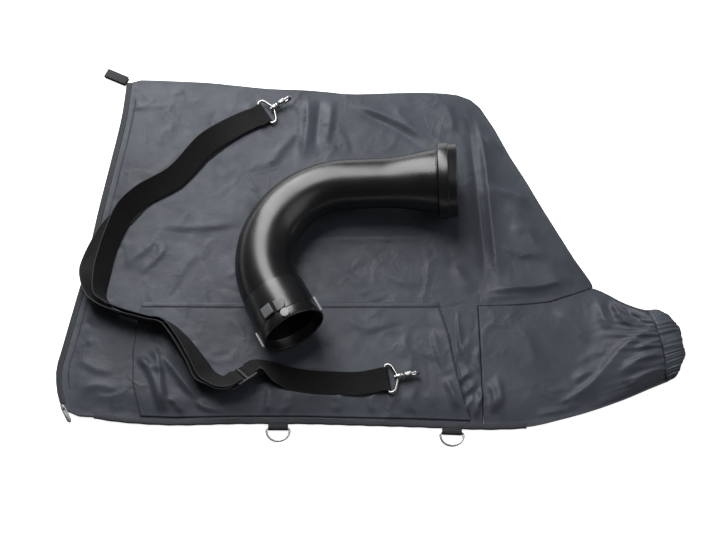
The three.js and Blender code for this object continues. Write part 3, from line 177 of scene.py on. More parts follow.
NECK_FOLDS = [
    ([(476, -101), (440, -118), (400, -142), (351, -196), (288, -236)], 7.0, 19, 0.4),
    ([(328, -196), (341, -180), (368, -172)], 5.0, 14, 0),
    ([(196, -190), (204, -214), (200, -244)], 6.0, 13, 0.4),
    ([(206, -180), (214, -206), (212, -238)], 4.5, 10, 0),
    ([(391, -52), (401, -86), (421, -106)], 7.0, 13, 0.4),
    ([(413, -64), (435, -92), (465, -106)], 7.0, 12, 0.4),
    ([(372, -52), (376, -86), (386, -112)], 4.5, 14, 0),
    ([(300, -70), (330, -96), (352, -132)], 3.4, 22, 0.3),
    ([(240, -90), (262, -130), (270, -180)], 2.6, 24, 0),
    ([(466, -150), (430, -160), (392, -182)], 6.0, 14, 0.3),
    ([(470, -172), (440, -182), (404, -202)], 5.0, 12, 0),
    ([(474, -128), (446, -136), (418, -150)], 5.0, 12, 0),
    ([(340, -226), (300, -238), (262, -244)], 3.0, 12, 0),
]

# Gathered cuff
CUFF_LENGTH = 36
CUFF_GATHERS = 41
CUFF_RIPPLE = 1.8
CUFF_BASE_Z = 5.2
NECK_SHIFT = 0.4
CUFF_SIDE_SHARE = 0.45
CUFF_SIDE_RISE = 2.6
CUFF_TUCK = 4.6
CUFF_OVER = 0.8
CUFF_DRAWN = 0.08
ELASTIC_OUT = (12, 24)
CUFF_POINTS = 420
CUFF_SEAM_POINTS = 400
CUFF_SEAM_OFF = 3.2
CUFF_SEAMS = (("cuff_inner", 7.0), ("cuff_outer", 25.0))
ELASTIC_POINTS = 240
ELASTIC_Z = (-1.3, -0.9, -0.5)
MOUTH_SHAPE = (1.35, 0.8)
MOUTH_RISE = (NECK_TOP - 4 - CUFF_BASE_Z) / 2

# Zip
TAPE_WIDTH = 9
TAPE_OUT = 3.6
TAPE_THICK = 0.8
COIL_OUT = 1.2
COIL_WIDTH = 2.6
TOOTH_PITCH = 1.3
ZIP_SEAM_IN = 15
EDGE_SEAM_IN = 7

# Webbing
STRAP_WIDTH = 38
STRAP_THICK = 1.8
RIB_PITCH = 1.9
STRAND_PITCH = 1.6
# Share of the rib height in the colour: painted light on the crests, painted shade in the troughs.
RIB_PAINTED_SHADING = 0.12
SELVEDGE_FROM = 0.955
# Painted highlight along the webbing's edge bands, and the scale of the lightest painted tone.
EDGE_PAINTED_HIGHLIGHT = 0.8
PAINTED_LIGHT_SCALE = 14

# Metal
EYE_WIRE = 4.4
EYE_INSIDE = 41
EYE_DEPTH = 17
BARREL_R = 5.2
BARREL_LENGTH = 8
RUN = 0.3
BASE_R = 5.4
BASE_LENGTH = 5
GATE_Z = 3.4
GATE_TUBE_R = 3.5
GATE_TUBE_LENGTH = 12
HOOK_MOUTH = 4.6
KNOB_R = 1.4
KNOB_TOP = 8.6
KNOB_BACK = 2.6
BOLT_R = 1.9
BOLT_TRAVEL = 5
HOOK_BACK_Z = -6
HOOK_WIRE = 4.6
HOOK_REACH = 24
RING_WIRE = 3.4
RING_INSIDE = 32
RING_DEPTH = 20

# Strap's route: glide and hook places, then stations with the crest edge, the foot edge and the foot's height
UPPER_HOOK = {"at": (-156.6, 274.7), "heading": 32.4, "ground": BAG_TOP}
LOWER_HOOK = {"at": (40.5, -189), "heading": 9, "ground": POCKET_TOP}
GLIDE = {"at": (-178, -186), "heading": 36, "lean": 42, "rise": 19}
GLIDE_LENGTH = 34
GLIDE_BAR = 3.4
GLIDE_THICK = 2.6
GLIDE_LEAD = 8
TAIL_LENGTH = 13
HOOK_LEAD = 40
HOOK_SEWN = 8
HOOK_TURN_IN = 30
UPPER_STRAND = [
    (-186, 282, -165, 250, 15),
    (-215, 265, -195, 233, 14.4),
    (-261, 228, -240, 200, 13.6),
    (-308, 168, -286, 142, 13.2),
    (-357, 133, -344, 104, 13.2),
    (-384, 99, -364, 82, 13.2),
    (-398, 62, -373, 58, 12.6),
    (-409, 21, -384, 26, 11.4),
    (-415, -19, -392, -16, 10.6),
    (-411, -58, -396, -50, 10.8),
    (-397, -71, -388, -64, 11.2),
    (-376, -82, -371, -75, 12.6),
    (-325, -98, -322, -91, 12.6),
    (-304, -102, -297, -94, 12.6),
    (-284, -124, -270, -115, 12.8),
    (-259, -166, -238, -154, 13),
    (-244, -193, -222, -176, 13.2),
    (-230.5, -203.4, -217, -180, 15),
    (-214.9, -210.9, -212.5, -183.5, 17.5),
    (-200.9, -211.9, -209.5, -185.3, 19.5),
]
LOWER_STRAND = [
    (-200.2, -214.4, -208.8, -187.8, 16.9),
    (-214.9, -213.8, -212.5, -186.4, 14.7),
    (-231.9, -205.8, -218.4, -182.4, 12.4),
    (-249, -197, -227, -180, 12.4),
    (-264, -169, -243, -157, 12.4),
    (-289, -128, -275, -119, 12.4),
    (-307, -107, -300, -99, 12.4),
    (-326, -103, -323, -96, 12.4),
    (-378, -88, -374, -81, 12.4),
    (-401, -78, -393, -70, 11),
    (-421, -62, -403, -52, 10.6),
    (-438, -22, -404, -20, 10.4),
    (-440, 10, -402, 8, 10.4),
    (-428, 42, -392, 30, 10.4),
    (-410, 76, -378, 56, 10.4),
    (-386, 108, -357, 83, 10.4),
    (-360, 139, -333, 112, 10.4),
    (-309, 171, -286, 140, 10.4),
    (-261, 226, -239, 195, 10.4),
    (-215, 264, -195, 231, 10.4),
]
SINGLE_STRAND = [
    (-131, -196, -131, -160, 13.2),
    (-107, -206, -105, -168, 12.6),
    (-76, -211, -76, -173, 12.4),
    (-40, -213, -40, -175, 12.4),
]

# Elbow duct, along its own middle line from the flange's face
DUCT_RISE = (0.078, -0.06)
DUCT_STRAIGHT = 172
DUCT_BEND_R = 129
DUCT_TURN = math.radians(118)
DUCT_TAIL = 71
DUCT_WALL = 2.6
DUCT_R = 39.5
DUCT_END_R = 47
CONE_START = 116
CONE_END_R = 51.5
FLANGE_R = 60
FLANGE_LENGTH = 29
FLANGE_STEP = 2.2
FLANGE_POINT_R = 53.35
BEAD_R = 53.5
BEAD_LENGTH = 3
COLLAR_LENGTH = 70
COLLAR_R = 49.5
COLLAR_WALL = 3.2
MOUTH_R = 50.2
MOUTH_LENGTH = 16.5

# Stage: places and sizes in metres, with the camera looking down from the bag's lower side
KEY_AT = (-0.6, 1.15, 1.2)
KEY_AIM = (-0.06, 0.02, 0)
KEY_SIZE = (0.95, 2.4)
FILL_AT = (1.3, -0.2, 1.3)
FILL_AIM = (0.2, 0, 0)
FILL_SIZE = (1.2, 1.6)
FLOOR_HALF = 6.0
FLOOR_BELOW = 0.0004
FLOOR_GLOW = 0.84
CAMERA_ELEVATION = math.radians(66)
CAMERA_DISTANCE = 2.6
CAMERA_LENS = 82.28
CAMERA_SENSOR = 36


# Settings that a user would change


class ClothSettings(bpy.types.PropertyGroup):
    """Look of the woven cloth."""
    tone: bpy.props.FloatVectorProperty(
        name="Cloth colour", description="Colour of the woven cloth", subtype="COLOR", size=3,
        default=(0.050, 0.056, 0.069), min=0, max=1,
    )
    roughness: bpy.props.FloatProperty(
        name="Roughness", description="Roughness of the coated weave", default=0.44, min=0, max=1,
    )
    fold_rise: bpy.props.FloatProperty(
        name="Fold rise", description="Share of each fold's full height", default=1.0, min=0, max=2,
    )
    crumple: bpy.props.FloatProperty(
        name="Crumple", description="Height of the small creases", default=0.9 * MM, min=0, max=5 * MM,
        unit="LENGTH",
    )
    cell: bpy.props.FloatProperty(
        name="Cell", description="Size of the cloth mesh's cells", default=3.6 * MM, min=2 * MM, max=20 * MM,
        unit="LENGTH",
    )


class WebbingSettings(bpy.types.PropertyGroup):
    """Look of the strap's webbing and the edge tapes."""
    tone: bpy.props.FloatVectorProperty(
        name="Webbing colour", description="Colour of the strap's webbing", subtype="COLOR", size=3,
        default=(0.003, 0.003, 0.0034), min=0, max=1,
    )
    tape_tone: bpy.props.FloatVectorProperty(
        name="Tape colour", description="Colour of the sewn tabs", subtype="COLOR", size=3,
        default=(0.013, 0.0135, 0.016), min=0, max=1,
    )
    binding_tone: bpy.props.FloatVectorProperty(
        name="Edge tape colour", description="Colour of the zip tapes and the edge binding", subtype="COLOR",
        size=3, default=(0.021, 0.023, 0.028), min=0, max=1,
    )


class DuctSettings(bpy.types.PropertyGroup):
    """Look of the elbow duct."""
    tone: bpy.props.FloatVectorProperty(
        name="Duct colour", description="Colour of the moulded duct", subtype="COLOR", size=3,
        default=(0.0055, 0.0057, 0.0065), min=0, max=1,
    )
    roughness: bpy.props.FloatProperty(
        name="Roughness", description="Roughness of the moulded surface", default=0.3, min=0, max=1,
    )
    sides: bpy.props.IntProperty(
        name="Sides", description="Facets round the duct", default=96, min=24, max=256,
    )


class StageSettings(bpy.types.PropertyGroup):
    """Floor and light."""
    floor_tone: bpy.props.FloatProperty(
        name="Floor tone", description="Grey level of the pale floor", default=0.82, min=0, max=1,
    )
    key_power: bpy.props.FloatProperty(
        name="Key light", description="Power of the large soft light over the duct", default=68, min=0,
        unit="POWER",
    )
    fill_power: bpy.props.FloatProperty(
        name="Fill light", description="Power of the soft light beside the neck", default=8, min=0,
        unit="POWER",
    )
    world_level: bpy.props.FloatProperty(
        name="Surround level", description="Brightness of the surrounding white", default=0.07, min=0, max=2,
    )


# Lines and plan patches

LATTICE = 64


def smooth_line(points, count):
    """Even samples of the smooth curve through the points."""
    p = np.array(points, float)
    p = np.vstack([p[:1], p, p[-1:]])
    t = np.linspace(0, 1, 30, endpoint=False)[:, None]
    spans = [
        0.5 * (2 * b + (c - a) * t + (2 * a - 5 * b + 4 * c - d) * t ** 2 + (3 * b - a - 3 * c + d) * t ** 3)
        for a, b, c, d in zip(p[:-3], p[1:-2], p[2:-1], p[3:])
    ]
    return resample(np.vstack([*spans, p[-1:]]), count)


def lengths_along(line):
    return np.concatenate([[0], np.cumsum(np.linalg.norm(np.diff(line, axis=0), axis=1))])


def resample(line, count):
    """Count + 1 points at even distances along a line."""
    along = lengths_along(line)
    want = np.linspace(0, along[-1], count + 1)
    return np.stack([np.interp(want, along, line[:, k]) for k in range(line.shape[1])], -1)


def at_shares(points, shares):
    line = np.array(points, float)
    along = lengths_along(line)
    return np.stack([np.interp(np.asarray(shares) * along[-1], along, line[:, k]) for k in range(2)], -1)


def patch(bottom, top, left, right, across, up):
    """Plan points of the patch between four edges, for shares across and up."""
    b, t = at_shares(bottom, across)[:, None], at_shares(top, across)[:, None]
    l, r = at_shares(left, up)[None], at_shares(right, up)[None]
    u, v = np.asarray(across)[:, None, None], np.asarray(up)[None, :, None]
    bl, br, tl, tr = (np.array(p, float) for p in (bottom[0], bottom[-1], top[0], top[-1]))
    corners = (1 - u) * (1 - v) * bl + u * (1 - v) * br + (1 - u) * v * tl + u * v * tr
    return (1 - v) * b + v * t + (1 - u) * l + u * r - corners


def crowded(count, crowd):
    """Shares from 0 to 1, closer together near both ends."""
    t = np.linspace(0, 1, count + 1)
    return t - crowd * np.sin(2 * np.pi * t) / (2 * np.pi)


def ramp(t):
    t = np.clip(t, 0, 1)
    return t * t * (3 - 2 * t)


def nearest(points, line):
    """For each plan point: distance to the line, side of it, and share of its length."""
    flat = points.reshape(-1, 2)
    a, span = line[:-1], np.diff(line, axis=0)
    size = np.linalg.norm(span, axis=1)
    rel = flat[:, None] - a[None]
    t = np.clip((rel * span).sum(-1) / size ** 2, 0, 1)
    away = rel - t[..., None] * span
    gap = np.linalg.norm(away, axis=-1)
    k = gap.argmin(1)
    row = np.arange(len(flat))
    side = np.sign(span[k, 0] * away[row, k, 1] - span[k, 1] * away[row, k, 0])
    share = (lengths_along(line)[k] + t[row, k] * size[k]) / size.sum()
    shape = points.shape[:-1]
    return gap[row, k].reshape(shape), side.reshape(shape), share.reshape(shape)


def lattice_noise(points, cell, seed):
    """Smooth noise from 0 to 1 over plan points."""
    table = np.random.default_rng(seed).random((LATTICE, LATTICE))
    q = points / cell
    base = np.floor(q).astype(int)
    f = ramp(q - base)
    i, j = base[..., 0] % LATTICE, base[..., 1] % LATTICE
    i2, j2 = (i + 1) % LATTICE, (j + 1) % LATTICE
    low = table[i, j] * (1 - f[..., 0]) + table[i2, j] * f[..., 0]
    high = table[i, j2] * (1 - f[..., 0]) + table[i2, j2] * f[..., 0]
    return low * (1 - f[..., 1]) + high * f[..., 1]


def frame_of(line):
    """Direction along a plan line at each of its points, and the direction to its right."""
    along = np.gradient(line, axis=0)
    along /= np.linalg.norm(along, axis=1)[:, None]
    return along, np.stack([along[:, 1], -along[:, 0]], -1)


def inset(line, distance):
    """The line moved to its left side."""
    return line - distance * frame_of(line)[1]


ZIP_LINE = smooth_line(ZIP_EDGE, 36)
BOTTOM_LINE = smooth_line(BOTTOM_EDGE, 30)
TOP_LINE = smooth_line(TOP_EDGE, 26)
NECK_LOW = smooth_line(NECK_BOTTOM, 16)
NECK_HIGH = smooth_line(NECK_CREST, 6)
SLANT_LINE = np.array(SLANT_EDGE, float)
CLOSED_EDGES = [ZIP_LINE, BOTTOM_LINE, TOP_LINE, NECK_LOW, NECK_HIGH, SLANT_LINE]
BODY_RIGHT = [*GUSSET_EDGE, *NECK_SEAM, *SLANT_EDGE]


# Heights of the cloth

CREST_R = 1.5
FADE = 0.3
CREASE_SIZES = (16, 74)
CREASE_BOW = 0.22
CREASE_RISE = (0.5, 1.5)
CREASE_HALF = (6, 13)
CREASE_AREA = 2600
WARP_CELL = 60
WARP_REACH = 50
DENTS = [(110, 0.55), (52, 0.3), (26, 0.15)]
DENT_RISE = 2.4


def crease(points, line, rise, half, lean):
    """One fold: a crest that falls off to both sides and fades towards its ends."""
    path = smooth_line(line, 20)
    reach = half * (1 + abs(lean)) + CREST_R
    near = np.all((points > path.min(0) - reach) & (points < path.max(0) + reach), axis=-1)
    height = np.zeros(points.shape[:-1])
    if near.any():
        gap, side, share = nearest(points[near], path)
        q = (np.hypot(gap, CREST_R) - CREST_R) / (half * (1 + lean * side))
        fade = ramp(share / FADE) * ramp((1 - share) / FADE)
        height[near] = rise * np.clip(1 - q, 0, 1) ** 2 * fade
    return height


def strewn(seed, count, low, high):
    """Short sharp creases strewn over a plan box."""
    draw = np.random.default_rng(seed)
    folds = []
    for _ in range(count):
        start, angle, size = draw.uniform(low, high), draw.uniform(0, math.pi), draw.uniform(*CREASE_SIZES)
        ahead = np.array([math.cos(angle), math.sin(angle)])
        bow = draw.uniform(-CREASE_BOW, CREASE_BOW) * np.array([-ahead[1], ahead[0]])
        line = [start, start + size * (0.5 * ahead + bow), start + size * ahead]
        rise = draw.choice((-1, 1)) * draw.uniform(*CREASE_RISE)
        folds.append((line, rise, draw.uniform(*CREASE_HALF), draw.uniform(-0.5, 0.5)))
    return folds


def folded(points, folds):
    strength = bpy.context.scene.leaf_cloth.fold_rise
    return strength * sum(crease(points, *fold) for fold in folds)


def crumpled(points, seed):
    """Slack of the cloth: soft dents of three sizes with a few strewn creases."""
    warp = [lattice_noise(points, WARP_CELL, seed + k) for k in (1, 2)]
    warped = points + np.stack(warp, -1) * WARP_REACH
    dents = 0
    for step, (cell, share) in enumerate(DENTS):
        dents = dents + share * lattice_noise(warped, cell, seed + 3 + step)
    low, high = points.reshape(-1, 2).min(0), points.reshape(-1, 2).max(0)
    count = int(np.prod(high - low) / CREASE_AREA)
    creases = sum(crease(points, *fold) for fold in strewn(seed + 9, count, low, high))
    return bpy.context.scene.leaf_cloth.crumple / MM * (DENT_RISE * dents + creases)


def plain_top(points):
    """Height of the bag's upper surface without its folds."""
    inside = np.min([nearest(points, line)[0] for line in CLOSED_EDGES], axis=0)
    neck = ramp((points[..., 0] - NECK_START_X) / (NECK_FULL_X - NECK_START_X))
    full = BAG_TOP + (NECK_TOP - BAG_TOP) * neck
    share = np.clip((inside - RIM_FLAT) / RISE, 0, 1)
    puffed = PUFF * ramp((points[..., 0] - PUFF_START_X) / PUFF_RUN)
    lifted = ramp(share) + puffed * (np.sqrt(1 - (1 - share) ** 2) - ramp(share))
    return RIM_TOP + (full - RIM_TOP) * lifted, inside


def in_frame(points):
    """Plan millimetres to metres in the frame."""
    return (np.asarray(points, float) + SHIFT) * MM


def tree_of(names):
    """Search tree over the fixed pieces of those names."""
    verts, faces = [], []
    for name in names:
        mesh = frame["nodes"][name].data
        base = len(verts)
        verts.extend(v.co.copy() for v in mesh.vertices)
        faces.extend([base + k for k in polygon.vertices] for polygon in mesh.polygons)
    return BVHTree.FromPolygons(verts, faces)


RESTING = [
    "strap_webbing", "elbow_tube", "elbow_flange", "flange_bead", "inlet_collar", "lug_rib_1", "lug_rib_2",
    "upper_eye", "upper_hook", "lower_eye", "lower_hook", "tri_glide",
]
REST_CLEAR = 0.45
SEARCH_UP = 0.1


def under_what_rests(points, height, tree, floor):
    """Presses the cloth down below whatever lies on it."""
    low = in_frame(np.concatenate([points, np.full((*points.shape[:-1], 1), floor)], -1)).reshape(-1, 3)
    flat = height.reshape(-1).copy()
    for k, start in enumerate(low):
        hit = tree.ray_cast(Vector(start), Vector((0, 0, 1)), SEARCH_UP)[0]
        if hit is not None:
            flat[k] = min(flat[k], hit.z / MM - REST_CLEAR)
    return np.maximum(flat.reshape(height.shape), floor)


# Meshes

FIRST_UP = (0.31, 0.17, 0.93)
SAME_POINT = 1e-6
FLAT_ANGLE = math.radians(4)
SHARP_ANGLE = math.radians(25)
CREASE_ANGLE = math.radians(38)
BEAD_SIDES = 6
STITCH_LENGTH = 2.6
STITCH_R = 0.32
STITCH_SHAPE = [(-0.5, 0.35), (-0.3, 1), (0.3, 1), (0.5, 0.35)]
STITCH_LIFT = 0.1
SEARCH_FROM = 90
SEARCH_DOWN = 0.2


def grid_faces(rows, cols, wrap_rows=False, wrap_cols=False, base=0, flip=False):
    """Faces of a grid of points stored row by row."""
    i = np.arange(rows if wrap_rows else rows - 1)[:, None]
    j = np.arange(cols if wrap_cols else cols - 1)[None]
    a, b = i * cols + j, ((i + 1) % rows) * cols + j
    c, d = ((i + 1) % rows) * cols + (j + 1) % cols, i * cols + (j + 1) % cols
    quads = np.stack([a, b, c, d], -1).reshape(-1, 4) + base
    return (quads[:, ::-1] if flip else quads).tolist()


def new_piece(name, points, faces, material, slot, body="bag", replaced=(), crease_angle=None):
    """A smooth mesh piece in the frame, riding on its body."""
    mesh = bpy.data.meshes.new(name)
    mesh.from_pydata(np.asarray(points, float).tolist(), [], faces)
    work = bmesh.new()
    work.from_mesh(mesh)
    bmesh.ops.recalc_face_normals(work, faces=work.faces)
    work.to_mesh(mesh)
    work.free()
    mesh.shade_smooth()
    if crease_angle is not None:
        mesh.set_sharp_from_angle(angle=math.radians(crease_angle))
    piece = bpy.data.objects.new(name, mesh)
    bpy.context.scene.collection.objects.link(piece)
    mesh.materials.append(material)
    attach(piece, body)
    if replaced:
        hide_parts(*replaced)
    return piece


def set_values(piece, name, values):
    layer = piece.data.attributes.new(name, "FLOAT", "POINT")
    layer.data.foreach_set("value", np.asarray(values, np.float32).ravel())


def set_uv(piece, uv):
    """Gives each corner the UV of its point."""
    mesh = piece.data
    corner = np.zeros(len(mesh.loops), np.int32)
    mesh.loops.foreach_get("vertex_index", corner)
    layer = mesh.uv_layers.new(name="lengthwise")
    layer.data.foreach_set("uv", np.asarray(uv, np.float32)[corner].ravel())


def rim_faces(rows, cols):
    """Faces that join the rims of two stacked grids."""
    rim = [i * cols for i in range(rows - 1)]
    rim += [(rows - 1) * cols + j for j in range(cols - 1)]
    rim += [i * cols + cols - 1 for i in range(rows - 1, 0, -1)]
    rim += list(range(cols - 1, 0, -1))
    layer = rows * cols
    return [[p, layer + p, layer + q, q] for p, q in zip(rim, rim[1:] + rim[:1])]


def cloth_piece(name, plan, top, replaced, seams):
    """A sheet of cloth: its upper grid, and a lower one a cloth's thickness under it."""
    rows, cols = top.shape
    upper = in_frame(np.concatenate([plan, top[..., None]], -1)).reshape(-1, 3)
    lower = upper - np.array([0, 0, CLOTH * MM])
    faces = grid_faces(rows, cols)
    faces += grid_faces(rows, cols, base=rows * cols, flip=True)
    faces += rim_faces(rows, cols)
    piece = new_piece(name, np.vstack([upper, lower]), faces, finish("cloth"), "bag_cloth", replaced=replaced)
    # Distance to the seams: near them the cloth's colour is darkened as painted shade.
    near = np.min([nearest(plan, line)[0] for line in seams], axis=0)
    set_values(piece, "seam_mm", np.concatenate([near.ravel(), near.ravel()]))
    return piece


def sweep(name, rings, material, slot, closed=False, **more):
    """Skin over rings of points, with both ends capped unless it closes on itself."""
    count, around = rings.shape[:2]
    faces = grid_faces(count, around, wrap_rows=closed, wrap_cols=True)
    if not closed:
        faces.append(list(range(around))[::-1])
        faces.append(list(range((count - 1) * around, count * around)))
    return new_piece(name, rings.reshape(-1, 3), faces, material, slot, **more)


def rings_along(points, radii, sides, closed=False):
    """Round rings on a path, turned as little as can be from one to the next."""
    p = np.asarray(points, float)
    if closed:
        along = np.roll(p, -1, 0) - np.roll(p, 1, 0)
    else:
        along = np.gradient(p, axis=0)
    along /= np.linalg.norm(along, axis=1)[:, None]
    up = np.cross(along[0], FIRST_UP)
    up /= np.linalg.norm(up)
    angle = np.linspace(0, 2 * np.pi, sides, endpoint=False)
    radii = np.broadcast_to(radii, len(p))
    rings = []
    for here, direction, radius in zip(p, along, radii):
        up = up - direction * (up @ direction)
        up /= np.linalg.norm(up)
        side = np.cross(direction, up)
        rings.append(here + radius * (np.cos(angle)[:, None] * up + np.sin(angle)[:, None] * side))
    return np.array(rings)


def softened(node, width, material, body="bag", segments=3):
    """The fixed piece with its edges rounded, as a moulded or cast one has them."""
    mesh = frame["nodes"][node].data.copy()
    work = bmesh.new()
    work.from_mesh(mesh)
    bmesh.ops.remove_doubles(work, verts=work.verts, dist=SAME_POINT)
    bmesh.ops.dissolve_limit(work, angle_limit=FLAT_ANGLE, verts=work.verts, edges=work.edges)
    sharp = [e for e in work.edges if len(e.link_faces) == 2 and e.calc_face_angle() > SHARP_ANGLE]
    bmesh.ops.bevel(
        work, geom=sharp, offset=width * MM, segments=segments, profile=0.6, affect="EDGES",
        clamp_overlap=True,
    )
    bmesh.ops.triangulate(work, faces=[f for f in work.faces if len(f.verts) > 4])
    work.to_mesh(mesh)
    work.free()
    mesh.materials.clear()
    mesh.materials.append(material)
    mesh.shade_smooth()
    mesh.set_sharp_from_angle(angle=CREASE_ANGLE)
    piece = bpy.data.objects.new(f"{node}_shaped", mesh)
    mesh.name = piece.name
    bpy.context.scene.collection.objects.link(piece)
    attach(piece, body)
    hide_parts(node)
    return piece


def bead_faces(rings, base):
    """Faces of a small closed bead of six-sided rings."""
    last = base + (rings - 1) * BEAD_SIDES
    return [
        *grid_faces(rings, BEAD_SIDES, wrap_cols=True, base=base),
        [base + n for n in range(BEAD_SIDES)][::-1],
        [last + n for n in range(BEAD_SIDES)],
    ]


def stitches(name, path, pitch, slot):
    """A run of thread stitches along a path in the frame, in metres."""
    path = np.asarray(path, float)
    total = lengths_along(path)[-1] / MM
    count = max(int(total / pitch), 2)
    line = resample(path, count * 2)
    angle = np.linspace(0, 2 * np.pi, BEAD_SIDES, endpoint=False)
    radius = STITCH_R * MM
    points, faces = [], []
    for k in range(count):
        here = line[2 * k + 1]
        along = line[2 * k + 2] - line[2 * k]
        along /= np.linalg.norm(along)
        side = np.cross([0, 0, 1.0], along)
        side /= np.linalg.norm(side)
        up = np.cross(along, side)
        faces += bead_faces(len(STITCH_SHAPE), len(points))
        for share, wide in STITCH_SHAPE:
            ring = here + along * share * STITCH_LENGTH * MM + up * radius * 0.3
            for a in angle:
                points.append(ring + radius * wide * (math.cos(a) * side + 0.7 * math.sin(a) * up))
    new_piece(name, np.array(points), faces, finish("thread"), slot)


def laid_on(plan, target):
    """The plan line just over a piece's upper surface, in the frame."""
    tree = BVHTree.FromObject(target, bpy.context.evaluated_depsgraph_get())
    points = []
    for x, y in plan:
        start = in_frame([x, y, SEARCH_FROM])
        hit = tree.ray_cast(Vector(start), Vector((0, 0, -1)), SEARCH_DOWN)[0]
        if hit is not None:
            points.append([start[0], start[1], hit.z + STITCH_LIFT * MM])
    return np.array(points)


# Shader groups


def group(name, inputs, outputs):
    """An empty node group with its inputs and outputs named."""
    made = bpy.data.node_groups.new(name, "ShaderNodeTree")
    for label, kind, value in inputs:
        socket = made.interface.new_socket(label, in_out="INPUT", socket_type=kind)
        if value is not None:
            socket.default_value = value
    for label, kind in outputs:
        made.interface.new_socket(label, in_out="OUTPUT", socket_type=kind)
    return made, made.nodes.new("NodeGroupInput"), made.nodes.new("NodeGroupOutput")


def add(tree, kind, values=None, **settings):
    node = tree.nodes.new(kind)
    for key, value in settings.items():
        setattr(node, key, value)
    for key, value in (values or {}).items():
        node.inputs[key].default_value = value
    return node


def math_node(tree, operation, first, second=None):
    node = tree.nodes.new("ShaderNodeMath")
    node.operation = operation
    for k, value in enumerate((first, second)):
        if isinstance(value, bpy.types.NodeSocket):
            tree.links.new(value, node.inputs[k])
        elif value is not None:
            node.inputs[k].default_value = value
    return node.outputs[0]


def make_weave_group():
    """Two crossed sets of threads as one height."""
    tree, given, result = group(
        "Weave",
        [("Vector", "NodeSocketVector", None), ("Threads per metre", "NodeSocketFloat", 1400.0)],
        [("Height", "NodeSocketFloat")],
    )
    turned = []
    for direction in ("X", "Y"):
        wave = add(tree, "ShaderNodeTexWave", {"Distortion": 0.4, "Detail": 1.0}, bands_direction=direction)
        scale = math_node(tree, "DIVIDE", given.outputs["Threads per metre"], 2 * math.pi)
        tree.links.new(given.outputs["Vector"], wave.inputs["Vector"])
        tree.links.new(scale, wave.inputs["Scale"])
        turned.append(wave.outputs["Fac"])
    tree.links.new(math_node(tree, "MAXIMUM", *turned), result.inputs["Height"])
    return tree


def make_crumple_group():
    """Creases finer than the mesh holds: sharp ridges over soft dents, with a tone that follows the dents for
    painted shade and light.
    """
    tree, given, result = group(
        "Crumple",
        [("Vector", "NodeSocketVector", None), ("Size", "NodeSocketFloat", 30.0)],
        [("Height", "NodeSocketFloat"), ("Tone", "NodeSocketFloat")],
    )
    warp = add(tree, "ShaderNodeTexNoise", {"Scale": 14.0, "Detail": 3.0})
    tree.links.new(given.outputs["Vector"], warp.inputs["Vector"])
    shift = add(tree, "ShaderNodeVectorMath", operation="SCALE")
    shift.inputs["Scale"].default_value = 0.05
    tree.links.new(warp.outputs["Color"], shift.inputs[0])
    moved = add(tree, "ShaderNodeVectorMath", operation="ADD")
    tree.links.new(given.outputs["Vector"], moved.inputs[0])
    tree.links.new(shift.outputs[0], moved.inputs[1])
    cells = add(tree, "ShaderNodeTexVoronoi", feature="DISTANCE_TO_EDGE")
    tree.links.new(moved.outputs[0], cells.inputs["Vector"])
    tree.links.new(given.outputs["Size"], cells.inputs["Scale"])
    ridge = math_node(tree, "SUBTRACT", 1.0, math_node(tree, "MINIMUM", math_node(
        tree, "MULTIPLY", cells.outputs["Distance"], 7.0), 1.0))
    soft = add(tree, "ShaderNodeTexNoise", {"Detail": 3.0, "Roughness": 0.5})
    tree.links.new(moved.outputs[0], soft.inputs["Vector"])
    tree.links.new(given.outputs["Size"], soft.inputs["Scale"])
    broken = add(tree, "ShaderNodeMapRange", {"From Min": 0.5, "From Max": 0.62})
    tree.links.new(warp.outputs["Fac"], broken.inputs["Value"])
    sparse = math_node(tree, "MULTIPLY", ridge, broken.outputs["Result"])
    total = math_node(tree, "ADD", math_node(tree, "MULTIPLY", sparse, 0.45), soft.outputs["Fac"])
    tree.links.new(total, result.inputs["Height"])
    # Tone follows the soft dents' height: darker in the dents as painted shade, lighter on the rises as painted
    # light.
    tree.links.new(soft.outputs["Fac"], result.inputs["Tone"])
    return tree


def make_grain_group():
    """Fine moulded grain with slow variation of tone."""
    tree, given, result = group(
        "Grain",
        [("Vector", "NodeSocketVector", None), ("Size", "NodeSocketFloat", 900.0)],
        [("Height", "NodeSocketFloat"), ("Tone", "NodeSocketFloat")],
    )
    fine = add(tree, "ShaderNodeTexNoise", {"Detail": 2.0, "Roughness": 0.6})
    slow = add(tree, "ShaderNodeTexNoise", {"Scale": 18.0, "Detail": 4.0})
    tree.links.new(given.outputs["Vector"], fine.inputs["Vector"])
    tree.links.new(given.outputs["Size"], fine.inputs["Scale"])
    tree.links.new(given.outputs["Vector"], slow.inputs["Vector"])
    tree.links.new(fine.outputs["Fac"], result.inputs["Height"])
    tree.links.new(slow.outputs["Fac"], result.inputs["Tone"])
    return tree


